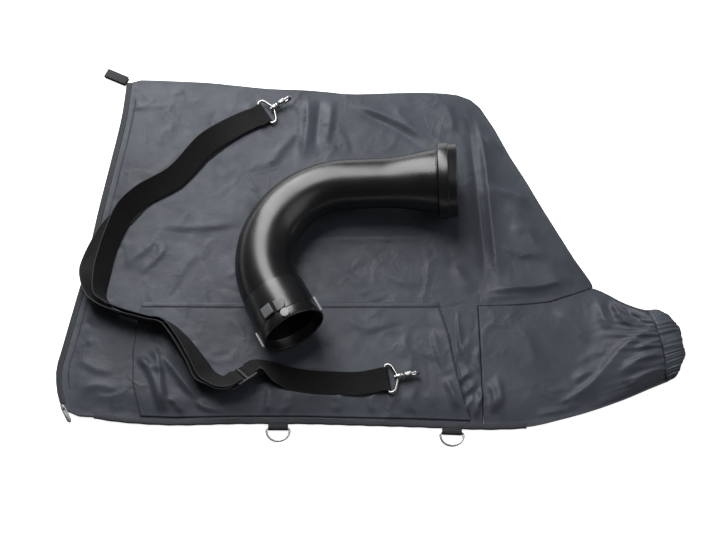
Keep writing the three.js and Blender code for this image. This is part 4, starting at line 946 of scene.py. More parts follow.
def make_ribs_group():
    """Crosswise ribs of a webbing and a mask of its edge bands, where a highlight is painted, from lengthwise UVs
    in metres.
    """
    tree, given, result = group(
        "Webbing ribs",
        [("Vector", "NodeSocketVector", None), ("Pitch", "NodeSocketFloat", RIB_PITCH * MM),
         ("Width", "NodeSocketFloat", STRAP_WIDTH * MM)],
        [("Height", "NodeSocketFloat"), ("Edge", "NodeSocketFloat")],
    )
    split = add(tree, "ShaderNodeSeparateXYZ")
    tree.links.new(given.outputs["Vector"], split.inputs[0])
    turns = math_node(tree, "DIVIDE", split.outputs["Y"], given.outputs["Pitch"])
    across = math_node(tree, "MULTIPLY", split.outputs["X"], 2 * math.pi / (STRAND_PITCH * MM))
    phase = math_node(tree, "ADD", math_node(tree, "MULTIPLY", turns, 2 * math.pi), math_node(
        tree, "MULTIPLY", math_node(tree, "SINE", across), 0.9))
    rib = math_node(tree, "ADD", math_node(tree, "MULTIPLY", math_node(tree, "SINE", phase), 0.5), 0.5)
    half = math_node(tree, "MULTIPLY", given.outputs["Width"], 0.5)
    out = math_node(tree, "DIVIDE", math_node(tree, "ABSOLUTE", split.outputs["X"]), half)
    edge = math_node(tree, "GREATER_THAN", out, SELVEDGE_FROM)
    tree.links.new(rib, result.inputs["Height"])
    tree.links.new(edge, result.inputs["Edge"])
    return tree


GROUPS = {}


def use(tree, name, vector, **values):
    """A shared group placed in a material."""
    makers = {"Weave": make_weave_group, "Crumple": make_crumple_group,
              "Grain": make_grain_group, "Webbing ribs": make_ribs_group}
    if name not in GROUPS:
        GROUPS[name] = makers[name]()
    node = tree.nodes.new("ShaderNodeGroup")
    node.node_tree = GROUPS[name]
    tree.links.new(vector, node.inputs["Vector"])
    for key, value in values.items():
        node.inputs[key.replace("_", " ")].default_value = value
    return node


# Materials


def new_material(name, color, roughness, metallic=0.0):
    material = bpy.data.materials.new(name)
    material.use_nodes = True
    tree = material.node_tree
    shader = tree.nodes["Principled BSDF"]
    shader.inputs["Base Color"].default_value = (*color, 1)
    shader.inputs["Roughness"].default_value = roughness
    shader.inputs["Metallic"].default_value = metallic
    material.diffuse_color = (*color, 1)
    return material, tree, shader


def place(tree):
    return tree.nodes.new("ShaderNodeTexCoord").outputs["Object"]


def bumped(tree, shader, layers):
    """Stacks bump nodes: each layer is a height, its strength and its depth in metres."""
    before = None
    for height, strength, depth in layers:
        bump = add(tree, "ShaderNodeBump", {"Strength": strength, "Distance": depth})
        tree.links.new(height, bump.inputs["Height"])
        if before is not None:
            tree.links.new(before, bump.inputs["Normal"])
        before = bump.outputs["Normal"]
    tree.links.new(before, shader.inputs["Normal"])


def toned(tree, shader, factor, dark, light, low=0.3, high=0.7):
    """Base colour between two tones."""
    span = add(tree, "ShaderNodeMapRange", {"From Min": low, "From Max": high})
    mix = add(tree, "ShaderNodeMix", data_type="RGBA")
    mix.inputs[6].default_value = (*dark, 1)
    mix.inputs[7].default_value = (*light, 1)
    tree.links.new(factor, span.inputs["Value"])
    tree.links.new(span.outputs["Result"], mix.inputs["Factor"])
    tree.links.new(mix.outputs[2], shader.inputs["Base Color"])


def roughened(tree, shader, factor, low, high):
    """Roughness between two values."""
    span = add(tree, "ShaderNodeMapRange", {"From Min": 0.3, "From Max": 0.7, "To Min": low, "To Max": high})
    tree.links.new(factor, span.inputs["Value"])
    tree.links.new(span.outputs["Result"], shader.inputs["Roughness"])


def scaled(color, share):
    return tuple(min(c * share, 1.0) for c in color)


MATERIALS = {}
# Near a seam the cloth's colour is darkened as painted shade, over this width and down to this share of its tone.
SEAM_HALF = 2.2
SEAM_PAINTED_SHADE = 0.46


def cloth_finish():
    """Coated grey weave with fine creases and sunk seams, its colour darkened near the seams and in the crumple's
    dents as painted shade and lighter on the crumple's rises as painted light.
    """
    settings = bpy.context.scene.leaf_cloth
    material, tree, shader = new_material("Grey cloth", settings.tone, settings.roughness)
    shader.inputs["Specular IOR Level"].default_value = 0.16
    shader.inputs["Sheen Weight"].default_value = 0.04
    shader.inputs["Sheen Roughness"].default_value = 0.4
    vector = place(tree)
    crumple = use(tree, "Crumple", vector, Size=14.0)
    fine = use(tree, "Crumple", vector, Size=46.0)
    weave = use(tree, "Weave", vector, Threads_per_metre=1500.0)
    seam = add(tree, "ShaderNodeAttribute", attribute_name="seam_mm")
    seam_sink_and_shade = add(tree, "ShaderNodeMapRange", {"From Min": 0.0, "From Max": SEAM_HALF},
               interpolation_type="SMOOTHSTEP")
    tree.links.new(seam.outputs["Fac"], seam_sink_and_shade.inputs["Value"])
    # Colour darkened near the seams and in the crumple's dents: painted shade.
    painted_shading = math_node(tree, "MULTIPLY", crumple.outputs["Tone"], seam_sink_and_shade.outputs["Result"])
    dark, light = scaled(settings.tone, SEAM_PAINTED_SHADE), scaled(settings.tone, 1.06)
    toned(tree, shader, painted_shading, dark, light, 0.0, 0.62)
    roughened(tree, shader, fine.outputs["Tone"], settings.roughness - 0.06, settings.roughness + 0.08)
    bumped(tree, shader, [
        (seam_sink_and_shade.outputs["Result"], 0.7, 0.9 * MM),
        (crumple.outputs["Height"], 0.6, 3.0 * MM),
        (fine.outputs["Height"], 0.4, 0.9 * MM),
        (weave.outputs["Height"], 0.25, 0.12 * MM),
    ])
    return material


def webbing_finish():
    """Ribbed black webbing, its colour lighter on the rib crests and along its edges as painted light."""
    tone = bpy.context.scene.leaf_webbing.tone
    material, tree, shader = new_material("Black webbing", tone, 0.6)
    shader.inputs["Specular IOR Level"].default_value = 0.16
    shader.inputs["Sheen Weight"].default_value = 0.03
    shader.inputs["Sheen Roughness"].default_value = 0.5
    uv = add(tree, "ShaderNodeUVMap", uv_map="lengthwise")
    ribs = use(tree, "Webbing ribs", uv.outputs["UV"])
    grain = use(tree, "Grain", place(tree), Size=1600.0)
    edge_highlight = math_node(tree, "MULTIPLY", ribs.outputs["Edge"], EDGE_PAINTED_HIGHLIGHT)
    # Rib crests and edge bands lighter, troughs darker: painted light and shade.
    painted_shading = math_node(tree, "ADD", math_node(tree, "MULTIPLY", ribs.outputs["Height"], RIB_PAINTED_SHADING), edge_highlight)
    toned(tree, shader, painted_shading, scaled(tone, 0.5), scaled(tone, PAINTED_LIGHT_SCALE), 0.0, 1.0)
    bumped(tree, shader, [
        (ribs.outputs["Height"], 0.9, 0.5 * MM),
        (grain.outputs["Height"], 0.4, 0.15 * MM),
    ])
    return material


def tape_finish(name, tone):
    """Plain woven tape."""
    material, tree, shader = new_material(name, tone, 0.62)
    shader.inputs["Specular IOR Level"].default_value = 0.25
    vector = place(tree)
    weave = use(tree, "Weave", vector, Threads_per_metre=2200.0)
    grain = use(tree, "Grain", vector, Size=700.0)
    toned(tree, shader, grain.outputs["Tone"], scaled(tone, 0.8), scaled(tone, 1.25))
    bumped(tree, shader, [
        (weave.outputs["Height"], 0.5, 0.2 * MM),
        (grain.outputs["Height"], 0.4, 0.15 * MM),
    ])
    return material


def plastic_finish(name, tone, roughness, grain_size=1100.0):
    """Moulded plastic with a fine grain."""
    material, tree, shader = new_material(name, tone, roughness)
    shader.inputs["Specular IOR Level"].default_value = 0.5
    grain = use(tree, "Grain", place(tree), Size=grain_size)
    toned(tree, shader, grain.outputs["Tone"], scaled(tone, 0.88), scaled(tone, 1.12))
    roughened(tree, shader, grain.outputs["Tone"], roughness - 0.04, roughness + 0.05)
    bumped(tree, shader, [(grain.outputs["Height"], 0.25, 0.08 * MM)])
    return material


def nickel_finish(name, tone):
    """Metal plate over a cast surface."""
    material, tree, shader = new_material(name, tone, 0.34, 1.0)
    grain = use(tree, "Grain", place(tree), Size=420.0)
    toned(tree, shader, grain.outputs["Tone"], scaled(tone, 0.86), scaled(tone, 1.05))
    roughened(tree, shader, grain.outputs["Height"], 0.24, 0.42)
    bumped(tree, shader, [(grain.outputs["Height"], 0.2, 0.12 * MM)])
    return material


def finish(name):
    """The shared material of that name, made when it is first asked for."""
    scene = bpy.context.scene
    duct, webbing = scene.leaf_duct, scene.leaf_webbing
    makers = {
        "cloth": cloth_finish,
        "webbing": webbing_finish,
        "tape": lambda: tape_finish("Black tape", webbing.tape_tone),
        "binding": lambda: tape_finish("Grey edge tape", webbing.binding_tone),
        "nickel": lambda: nickel_finish("Nickel", (0.31, 0.31, 0.305)),
        "dark nickel": lambda: nickel_finish("Dark nickel", (0.13, 0.13, 0.135)),
        "duct": lambda: plastic_finish("Duct plastic", duct.tone, duct.roughness),
        # Lug ribs and pin paled to paint the highlight that their raised faces catch.
        "lug": lambda: plastic_finish("Lug plastic paled for painted highlight", (0.2, 0.205, 0.215), 0.4),
        "stop": lambda: plastic_finish("Grey stop plastic", (0.115, 0.119, 0.126), 0.42),
        "glide": lambda: plastic_finish("Glide plastic", (0.02, 0.02, 0.022), 0.3),
        "coil": lambda: plastic_finish("Zip nylon", (0.03, 0.03, 0.034), 0.38),
        "thread": lambda: plastic_finish("Sewing thread", (0.07, 0.074, 0.085), 0.7, 2400.0),
        "elastic": lambda: plastic_finish("Elastic", (0.7, 0.69, 0.65), 0.75, 1800.0),
    }
    if name not in MATERIALS:
        MATERIALS[name] = makers[name]()
    return MATERIALS[name]


# Cloth pieces

BODY_SPAN = (830, 600)
BODY_CROWD = 0.35
FRONT_SEED = 11
FRONT_SAG = 0.8
FRONT_LOOSE = 22
SWELL = 1.6
SWELL_CELL = 150
SWELL_SEED = 5
COVERED_X = (-340, 150)
COVERED_Y = -66
COVERED_RUN = 6
REST_FLOOR = 0.2
LAYER_CLEAR = 0.4
SEAM_PITCH = 3.4
ZIP_SEAM_PITCH = 3.6
BACK_COUNTS = (90, 70)
BACK_DENT = 0.25
BACK_DENT_SEED = 31
POCKET_SPAN = (520, 200)
POCKET_SEED = 47
POCKET_SAG = 0.5
POCKET_LOOSE = 14
SLIT_RUN = 22
SLIT_Y = (-240, -64)
SLIT_FADE = 30
HEM_WIDTH = 9
HEM_RISE = 0.7
HEM_EDGE = 1.5
SIDE_SEAM_IN = 4
UNSEWN = 99.0
NECK_COUNTS = (84, 90, 26)
NECK_SEED = 83
NECK_SAG = 0.6
NECK_LOOSE = 14
NECK_WIDTH = 120
PLEAT_RISE = 3.0
MOUTH_LIFT_FROM = 0.75


def cells_across(length):
    return max(int(length * MM / bpy.context.scene.leaf_cloth.cell), 8)


def front_cloth():
    """Upper panel of the bag, with the folds that it lies in."""
    across, up = (crowded(cells_across(size), BODY_CROWD) for size in BODY_SPAN)
    plan = patch(BOTTOM_LINE, TOP_LINE, ZIP_LINE, BODY_RIGHT, across, up)
    plain, inside = plain_top(plan)
    loose = ramp((inside - RIM_FLAT) / FRONT_LOOSE)
    detail = folded(plan, FRONT_FOLDS + GUSSET_FOLDS) + crumpled(plan, FRONT_SEED) - FRONT_SAG
    swell = SWELL * (lattice_noise(plan, SWELL_CELL, SWELL_SEED) - 0.5)
    x, y = plan[..., 0], plan[..., 1]
    under_pocket = ramp((COVERED_Y - y) / COVERED_RUN) * (x > COVERED_X[0]) * (x < COVERED_X[1])
    top = plain + loose * (detail + swell) * (1 - under_pocket)
    top = np.maximum(top, BACK_LOW + 2 * CLOTH + LAYER_CLEAR)
    top = under_what_rests(plan, top, tree_of(RESTING), RIM_TOP - REST_FLOOR)
    zip_seam = inset(ZIP_LINE, -ZIP_SEAM_IN)[2:-2]
    neck_seam = np.array([GUSSET_EDGE[-1], *NECK_SEAM], float)
    # The line just right of the pocket's open edge darkens the front cloth as a painted shadow of that raised
    # edge.
    slit = np.array(POCKET_RIGHT, float) + (SEAM_HALF, 0)
    gusset_seam = np.array(GUSSET_EDGE, float)
    piece = cloth_piece("front_cloth", plan, top, ["front_panel"], [zip_seam, neck_seam, gusset_seam, slit])
    stitches("zip_seam_stitches", laid_on(resample(zip_seam, 160), piece), ZIP_SEAM_PITCH, "bag_cloth")


def back_cloth():
    """Lower panel of the bag, flat on the surface it lies on."""
    across, up = (crowded(count, BODY_CROWD) for count in BACK_COUNTS)
    plan = patch(BOTTOM_LINE, TOP_LINE, ZIP_LINE, BODY_RIGHT, across, up)
    inside = plain_top(plan)[1]
    dents = lattice_noise(plan, WARP_CELL, BACK_DENT_SEED) - 0.2
    top = BACK_LOW + CLOTH + BACK_DENT * ramp((inside - 6) / 20) * dents
    piece = cloth_piece("back_cloth", plan, top, ["back_panel"], [inset(TOP_LINE, -EDGE_SEAM_IN)])


def pocket_cloth():
    """Panel sewn on the lower front, with a folded hem along its top and an open right edge."""
    edges = (POCKET_FOOT, POCKET_HEM, POCKET_LEFT, POCKET_RIGHT)
    foot, hem, left, right = (np.array(edge, float) for edge in edges)
    across = crowded(cells_across(POCKET_SPAN[0]), 0.2)
    up = crowded(cells_across(POCKET_SPAN[1]) + 6, 0.3)
    plan = patch(foot, hem, left, right, across, up)
    plain, _ = plain_top(plan)
    sewn = np.min([nearest(plan, edge)[0] for edge in (left, foot)], axis=0)
    slit, y = nearest(plan, right)[0], plan[..., 1]
    proud = SLIT_RISE * ramp((SLIT_RUN - slit) / SLIT_RUN)
    proud = proud * ramp((SLIT_Y[1] - y) / SLIT_FADE) * ramp((y - SLIT_Y[0]) / SLIT_FADE)
    hem_gap = nearest(plan, hem)[0]
    doubled = HEM_RISE * ramp((HEM_WIDTH - hem_gap) / HEM_EDGE) * ramp(hem_gap / HEM_EDGE + 0.4)
    loose = ramp(sewn / POCKET_LOOSE)
    detail = folded(plan, POCKET_FOLDS) + crumpled(plan, POCKET_SEED) - POCKET_SAG
    top = plain + POCKET_GAP + CLOTH + loose * detail + doubled + proud
    top = np.maximum(top, plain + CLOTH + GAP)
    top = under_what_rests(plan, top, tree_of(RESTING), RIM_TOP + CLOTH)
    hem_seam = inset(hem, -HEM_WIDTH)
    piece = cloth_piece("pocket_cloth", plan, top, ["pocket_panel"], [hem_seam])
    bartack = np.array([right[-1] - (3 + 2.4 * k, 2.5 + 2 * (k % 2)) for k in range(6)])
    for name, line in (("hem", hem_seam), ("pocket_left", inset(left, -SIDE_SEAM_IN)), ("bartack", bartack)):
        stitches(f"{name}_stitches", laid_on(resample(line, 120), piece), SEAM_PITCH, "bag_cloth")


def neck_edges():
    low = NECK_LOW + [NECK_SHIFT, 0]
    left = np.array(GUSSET_EDGE, float) + [NECK_SHIFT, 0]
    seam = np.array([GUSSET_EDGE[-1], *NECK_SEAM], float) + [NECK_SHIFT, -0.8]
    high = np.vstack([seam, NECK_HIGH[1:] + [NECK_SHIFT, 0]])
    return low, high, left, np.array([low[-1], high[-1]])


def mouth_frame():
    """Middle, direction across and direction outwards of the neck's mouth, in plan."""
    low, high, _, _ = neck_edges()
    across = high[-1] - low[-1]
    size = np.linalg.norm(across)
    across = across / size
    return (low[-1] + high[-1]) / 2, across, np.array([across[1], -across[0]]), size / 2


def gather(t):
    """Uneven ripple round the mouth, from -1 to 1."""
    loose = 0.62 + 0.38 * np.sin(5 * t + 0.7)
    main = np.sin(CUFF_GATHERS * t + 1.4 * np.sin(4 * t) + 0.9 * np.sin(9 * t + 2))
    return loose * (0.6 * main + 0.4 * np.sin(23 * t + 1.3 + 1.2 * np.sin(3 * t)))


def cuff_point(t, out, off, ripple):
    """Point of the cuff: angle round the mouth, distance along it, distance off its middle surface."""
    middle, across, outwards, half = mouth_frame()
    share = np.clip(np.asarray(out) / CUFF_LENGTH, 0, 1)
    power = MOUTH_SHAPE[0] + (MOUTH_SHAPE[1] - MOUTH_SHAPE[0]) * ramp(share / 0.5)
    c = np.sign(np.cos(t)) * np.abs(np.cos(t)) ** MOUTH_SHAPE[1]
    s = np.sign(np.sin(t)) * np.abs(np.sin(t)) ** power
    lift = off + ripple * np.where(s > -0.5, 1, 0.25)
    drawn = CUFF_DRAWN * half * ramp(share)
    side = (half + CUFF_OVER - drawn + (lift - CUFF_TUCK) * ramp(share / 0.3)) * c
    out = out * (CUFF_SIDE_SHARE + (1 - CUFF_SIDE_SHARE) * (1 - np.abs(c) ** 3))
    dome = np.where(s > 0, 2 * MOUTH_RISE - CUFF_SIDE_RISE, CUFF_SIDE_RISE)
    z = CUFF_BASE_Z + CUFF_SIDE_RISE + (lift + dome) * s
    plan = middle + side[..., None] * across + np.asarray(out + NECK_SHIFT)[..., None] * outwards
    return np.concatenate([plan, z[..., None]], -1)


def neck_cloth():
    """Neck of the bag: a flattened sleeve that narrows into the gathered cuff."""
    low, high, left, mouth = neck_edges()
    long_count, top_count, floor_count = NECK_COUNTS
    steps = crowded(long_count, 0.2)
    top_v = crowded(top_count, 0.55)
    floor_v = np.linspace(0.99, 0.01, floor_count)
    rings, inner = [], []
    for upper, v in ((True, top_v), (False, floor_v)):
        plan = patch(low, high, left, mouth, steps, v)
        lift = ramp((steps - MOUTH_LIFT_FROM) / (1 - MOUTH_LIFT_FROM))[:, None]
        floor = BACK_LOW + (CUFF_BASE_Z - CLOTH - BACK_LOW) * lift
        if upper:
            plain, inside = plain_top(plan)
            near = ramp((steps - 0.5) / 0.5)[:, None]
            angle = np.arccos(np.clip(2 * v - 1, -1, 1))[None]
            pleats = PLEAT_RISE * near ** 1.5 * gather(angle) * ramp((inside - 4) / 16)
            side_seam = np.minimum(v, 1 - v)[None] * NECK_WIDTH
            loose = ramp(side_seam / NECK_LOOSE)
            detail = folded(plan, NECK_FOLDS) + crumpled(plan, NECK_SEED) - NECK_SAG
            z = plain + loose * (detail + pleats)
            z = np.maximum(z, floor + CLOTH * 2 + 0.8)
        else:
            z = np.broadcast_to(floor, plan.shape[:-1])
        rings.append(np.concatenate([plan, z[..., None]], -1))
        drop = -CLOTH if upper else CLOTH
        inner.append(rings[-1] + [0, 0, drop])
    outer = np.concatenate(rings, 1)
    lining = np.concatenate(inner, 1)
    loop = np.concatenate([outer, lining[::-1]], 0)
    piece = seamless("neck_cloth", loop, "neck_sleeve")


def seamless(name, points, node):
    """A closed sleeve of cloth without a sunk seam."""
    piece = sweep(name, in_frame(points), finish("cloth"), "bag_cloth", closed=True, replaced=[node])
    set_values(piece, "seam_mm", np.full(len(piece.data.vertices), UNSEWN))
    return piece


def cuff_cloth():
    """Folded casing round the mouth of the neck, drawn together by the elastic inside it."""
    half, end = CLOTH / 2, CUFF_LENGTH
    profile = np.array([
        (-2.4, half + 0.5), (0.2 * end, 1.6 + half), (0.5 * end, 3 + half), (0.72 * end, 3.1 + half),
        (0.88 * end, 1.8 + half), (0.97 * end, 0.6), (end, -0.6), (0.97 * end, -1.9),
        (0.85 * end, -3.2 - half), (8, -3.2 - half), (8, -3.2 + half), (0.82 * end, -3.2 + half),
        (end - 2.4, -0.6), (0.82 * end, 2.0 - half), (0.5 * end, 3 - half), (0.2 * end, 1.6 - half),
        (-2.4, 0.5 - half),
    ])
    t = (2 * np.pi * np.arange(CUFF_POINTS) / CUFF_POINTS)[:, None] + np.zeros((1, len(profile)))
    out, off = profile[:, 0][None], profile[:, 1][None]
    squeeze = 0.55 + 0.45 * np.cos((out / end - 0.62) * 5.0)
    ripple = CUFF_RIPPLE * gather(t) * ramp(out / 9 + 0.15) * (0.6 + 0.4 * squeeze)
    ripple = ripple + 0.6 * np.sin(67 * t + 2.2 * np.sin(7 * t) + 0.6 * out / 6) * ramp(out / 12)
    sway = (1.4 * np.sin(9 * t + 1.7) + 0.8 * gather(t + 0.1)) * ramp(out / end)
    seamless("cuff_cloth", cuff_point(t, out + sway, off + np.zeros_like(t), ripple), "cuff_casing")
    ring = np.linspace(0, 2 * np.pi, CUFF_SEAM_POINTS)
    for name, place_out in CUFF_SEAMS:
        out, off = np.full(CUFF_SEAM_POINTS, place_out), np.full(CUFF_SEAM_POINTS, CUFF_SEAM_OFF)
        at = cuff_point(ring, out, off, CUFF_RIPPLE * gather(ring))
        keep = at[at[:, 2] > CUFF_BASE_Z + CUFF_SIDE_RISE + 1.5]
        stitches(f"{name}_stitches", in_frame(keep), SEAM_PITCH, "bag_cloth")


def elastic_band():
    """Flat elastic inside the casing, round the mouth."""
    (near, far), (low, mid, high), edge = ELASTIC_OUT, ELASTIC_Z, 0.4
    profile = np.array([
        (near, mid), (near + edge, high), (far - edge, high),
        (far, mid), (far - edge, low), (near + edge, low),
    ])
    t = np.linspace(0, 2 * np.pi, ELASTIC_POINTS, endpoint=False)[:, None] + np.zeros((1, len(profile)))
    out, off = (np.broadcast_to(profile[:, k][None], t.shape) for k in (0, 1))
    points = in_frame(cuff_point(t, out, off, 0.4 * gather(t)))
    sweep("elastic_band", points, finish("elastic"), "elastic", closed=True, replaced=["cuff_elastic"])


# Edges, zip and tabs

BINDING_INNER = 0.6
BINDING_BEND = 1.2
BINDING_WAVE = 0.25
TAPE_CREASE = 60
TAPE_SEAM_PITCH = 3.2
TAB_SEAM_PITCH = 2.8
TAB_EDGE = 0.35
TOOTH_SHIFT = 0.35
TOOTH_CLEAR = 0.36
TOOTH_SHAPE = ((-1, 0.5), (-0.8, 1), (0.8, 1), (1, 0.5))


def edge_rings(line, profile):
    """Profile points [out of the bag, height] at each point of a plan edge."""
    normal = frame_of(line)[1]
    profile = np.asarray(profile, float)
    plan = line[:, None] + profile[None, :, :1] * normal[:, None]
    height = np.broadcast_to(profile[None, :, 1:], (len(line), len(profile), 1))
    return in_frame(np.concatenate([plan, height], -1))


def rounded_strip(low_out, high_out, low_z, high_z, edge):
    """Outline of a flat strip with rounded edges."""
    points = []
    for cx, cz, start in ((high_out - edge, low_z + edge, -90), (high_out - edge, high_z - edge, 0),
                          (low_out + edge, high_z - edge, 90), (low_out + edge, low_z + edge, 180)):
        for k in range(4):
            a = math.radians(start + 30 * k)
            points.append((cx + edge * math.cos(a), cz + edge * math.sin(a)))
    return points


def edge_binding():
    """Tape folded round the bag's lower edge and sewn through."""
    leg, inner, top = -BINDING_SHOWN, BINDING_INNER, RIM_TOP + GAP
    outer, r = inner + BINDING, BINDING_BEND
    bend = [(outer - r + r * math.sin(a), r - r * math.cos(a)) for a in np.linspace(0, math.pi / 2, 5)]
    over = [(x, top + BINDING - z) for x, z in bend[::-1]]
    profile = [
        (leg, 0.0), *bend, *over, (leg, top + BINDING), (leg - 0.3, top + 0.5), (leg, top),
        (inner, top), (inner, BINDING), (leg, BINDING),
    ]
    line = smooth_line([*BOTTOM_EDGE[2:], NECK_BOTTOM[1]], 150)
    wave = BINDING_WAVE * np.sin(np.arange(len(line)) * 0.9)
    rings = edge_rings(line + np.stack([np.zeros(len(line)), wave], -1), profile)
    sweep("edge_binding", rings, finish("binding"), "edge_tape", replaced=["bottom_binding"],
          crease_angle=TAPE_CREASE)
    run = edge_rings(line, [(-BINDING_SHOWN + 2, top + BINDING)])[3:-3, 0]
    stitches("binding_stitches", run, SEAM_PITCH, "edge_tape")


def zip_edge():
    """Two tapes with the coil between them, along the bag's left edge."""
    tape_line = resample(ZIP_LINE[::-1], 180)[:-4]
    low = RIM_TOP + GAP
    inner = -TAPE_WIDTH + TAPE_OUT
    tapes = (("zip_tape_upper", "zip_tape_front", low), ("zip_tape_lower", "zip_tape_back", 0.0))
    for name, node, base in tapes:
        rings = edge_rings(tape_line, rounded_strip(inner, TAPE_OUT, base, base + TAPE_THICK, 0.3))
        sweep(name, rings, finish("binding"), "edge_tape", replaced=[node], crease_angle=TAPE_CREASE)
    run = edge_rings(tape_line, [(inner + 1.6, low + TAPE_THICK)])[2:-2, 0]
    stitches("zip_tape_stitches", run, TAPE_SEAM_PITCH, "edge_tape")
    teeth = resample(ZIP_LINE[::-1], int(lengths_along(ZIP_LINE)[-1] / TOOTH_PITCH))
    along, normal = frame_of(teeth)
    mid_z = (BACK_LOW + RIM_TOP) / 2
    points, faces = [], []
    angle = np.linspace(0, 2 * np.pi, BEAD_SIDES, endpoint=False)
    for k, here in enumerate(teeth):
        shift = TOOTH_SHIFT if k % 2 else -TOOTH_SHIFT
        faces += bead_faces(len(TOOTH_SHAPE), len(points))
        for share, wide in TOOTH_SHAPE:
            out = COIL_OUT + COIL_WIDTH / 2 + shift + share * (COIL_WIDTH / 2 - TOOTH_CLEAR)
            for a in angle:
                plan = here + normal[k] * out + along[k] * 0.5 * wide * math.cos(a)
                points.append((plan[0], plan[1], mid_z + 1.3 * wide * math.sin(a)))
    new_piece("zip_teeth", in_frame(points), faces, finish("coil"), "zip_nylon", replaced=["zip_coil"])


def sewn_tabs():
    """Folded tabs of webbing: the hanging loop and the two that hold the D-rings."""
    for node in ("hanging_loop", "ring_tab_left", "ring_tab_right"):
        softened(node, TAB_EDGE, finish("tape"))
    for side in ("left", "right"):
        origin, turn = ring_place(f"d_ring_{side}_pivot")
        tab = bpy.data.objects[f"ring_tab_{side}_shaped"]
        top = max(v.co.z for v in tab.data.vertices)
        for k, back in enumerate((3.2, 6.0)):
            run = [origin + turn @ Vector((x * MM, back * MM, 0)) for x in np.linspace(-13, 13, 14)]
            run = [(p.x, p.y, top + 0.05 * MM) for p in run]
            stitches(f"ring_tab_{side}_stitches_{k + 1}", run, TAB_SEAM_PITCH, "webbing")


# Strap

STRAP_PARTS = 8
STRAP_CREASE = 70


def turned(heading, lean_x=0.0):
    return Matrix.Rotation(math.radians(heading), 3, "Z") @ Matrix.Rotation(math.radians(lean_x), 3, "X")


def station(crest_x, crest_y, foot_x, foot_y, foot_z):
    """Both edges of the webbing: what its width leaves over the plan distance is the crest's rise."""
    across = Vector((crest_x - foot_x, crest_y - foot_y, 0))
    lean = min(across.length, STRAP_WIDTH)
    foot = Vector((foot_x, foot_y, foot_z))
    rise = math.sqrt(STRAP_WIDTH ** 2 - lean ** 2)
    return foot + across.normalized() * lean + Vector((0, 0, rise)), foot


def local_stations(origin, turn, points, flip=1):
    """Both edges at points [along, off] of a turned place."""
    half = STRAP_WIDTH / 2
    return [
        tuple(origin + turn @ Vector((x, flip * side * half, z)) for side in (-1, 1))
        for x, z in points
    ]


def arc(radius, start, end, count):
    steps = np.radians(np.linspace(start, end, count + 1))
    return [(radius * math.cos(a), radius * math.sin(a)) for a in steps]


def strap_stations():
    """The strap's route from its tail at the glide, round the upper hook, back and on to the lower hook."""
    glide_at = Vector((*GLIDE["at"], POCKET_TOP + GLIDE["rise"]))
    glide_turn = turned(GLIDE["heading"], -GLIDE["lean"])
    bar_z = GLIDE_THICK / 2 + GAP + STRAP_THICK / 2
    rear = -GLIDE_LENGTH / 2 + GLIDE_BAR / 2
    loop = GLIDE_BAR / 2 + GAP + STRAP_THICK / 2 + 0.4
    tail = [(rear - TAIL_LENGTH, -bar_z - 0.1), (rear - TAIL_LENGTH / 2, -bar_z), (rear + loop - 1.7, -bar_z)]
    bend = [(rear + loop - 0.2, 0.8 - bar_z), (rear + loop, 0), (rear + loop - 0.2, bar_z - 0.8)]
    leave = [(rear + loop - 1.7, bar_z), (rear - GLIDE_LEAD, bar_z)]
    over = bar_z + STRAP_THICK + GAP
    weave = [
        (rear - GLIDE_LEAD, over), (rear + 2.6, over), (rear + 5.4, over - 1),
        (-5.4, -0.8), (-3.2, -bar_z), (3.2, -bar_z), (5.4, -1.2),
        (-rear - 4, bar_z - 0.8), (-rear - 1.6, bar_z), (-rear + 2, bar_z), (-rear + 10, bar_z - 1),
    ]
    layers = EYE_WIRE / 2 + GAP + STRAP_THICK / 2

    def hook(spot):
        z = spot["ground"] + STRAP_THICK + 2 * GAP + EYE_WIRE / 2
        return Vector((*spot["at"], z)), turned(spot["heading"])

    upper_bend = [(-14, -layers + 0.4), (-4, -layers), *arc(layers, -90, 90, 8),
                  (-4, layers), (-14, layers - 0.6)]
    lower_bend = [(-HOOK_LEAD, -0.4), (-HOOK_LEAD / 2, layers - 2), (-HOOK_SEWN, layers),
                  *arc(layers, 90, -90, 8), (-HOOK_SEWN, -layers), (-HOOK_TURN_IN, -layers)]
    return [
        *local_stations(glide_at, glide_turn, [*tail, *bend, *leave]),
        *(station(*s) for s in LOWER_STRAND),
        *local_stations(*hook(UPPER_HOOK), upper_bend, -1),
        *(station(*s) for s in UPPER_STRAND),
        *local_stations(glide_at, glide_turn, weave),
        *(station(*s) for s in SINGLE_STRAND),
        *local_stations(*hook(LOWER_HOOK), lower_bend),
    ]


def smoothed(points, knots):
    """Smooth curve through points whose spacing varies, on shared knots."""
    p = np.vstack([2 * points[0] - points[1], points, 2 * points[-1] - points[-2]])
    k = np.concatenate([[knots[0] - (knots[1] - knots[0])], knots, [knots[-1] + (knots[-1] - knots[-2])]])
    rows = []
    for i in range(1, len(p) - 2):
        t0, t1, t2, t3 = k[i - 1:i + 3]
        t = np.linspace(t1, t2, STRAP_PARTS, endpoint=False)[:, None]
        a1 = (t1 - t) / (t1 - t0) * p[i - 1] + (t - t0) / (t1 - t0) * p[i]
        a2 = (t2 - t) / (t2 - t1) * p[i] + (t - t1) / (t2 - t1) * p[i + 1]
        a3 = (t3 - t) / (t3 - t2) * p[i + 1] + (t - t2) / (t3 - t2) * p[i + 2]
        b1 = (t2 - t) / (t2 - t0) * a1 + (t - t0) / (t2 - t0) * a2
        b2 = (t3 - t) / (t3 - t1) * a2 + (t - t1) / (t3 - t1) * a3
        rows.append((t2 - t) / (t2 - t1) * b1 + (t - t1) / (t2 - t1) * b2)
    return np.vstack([*rows, points[-1:]])


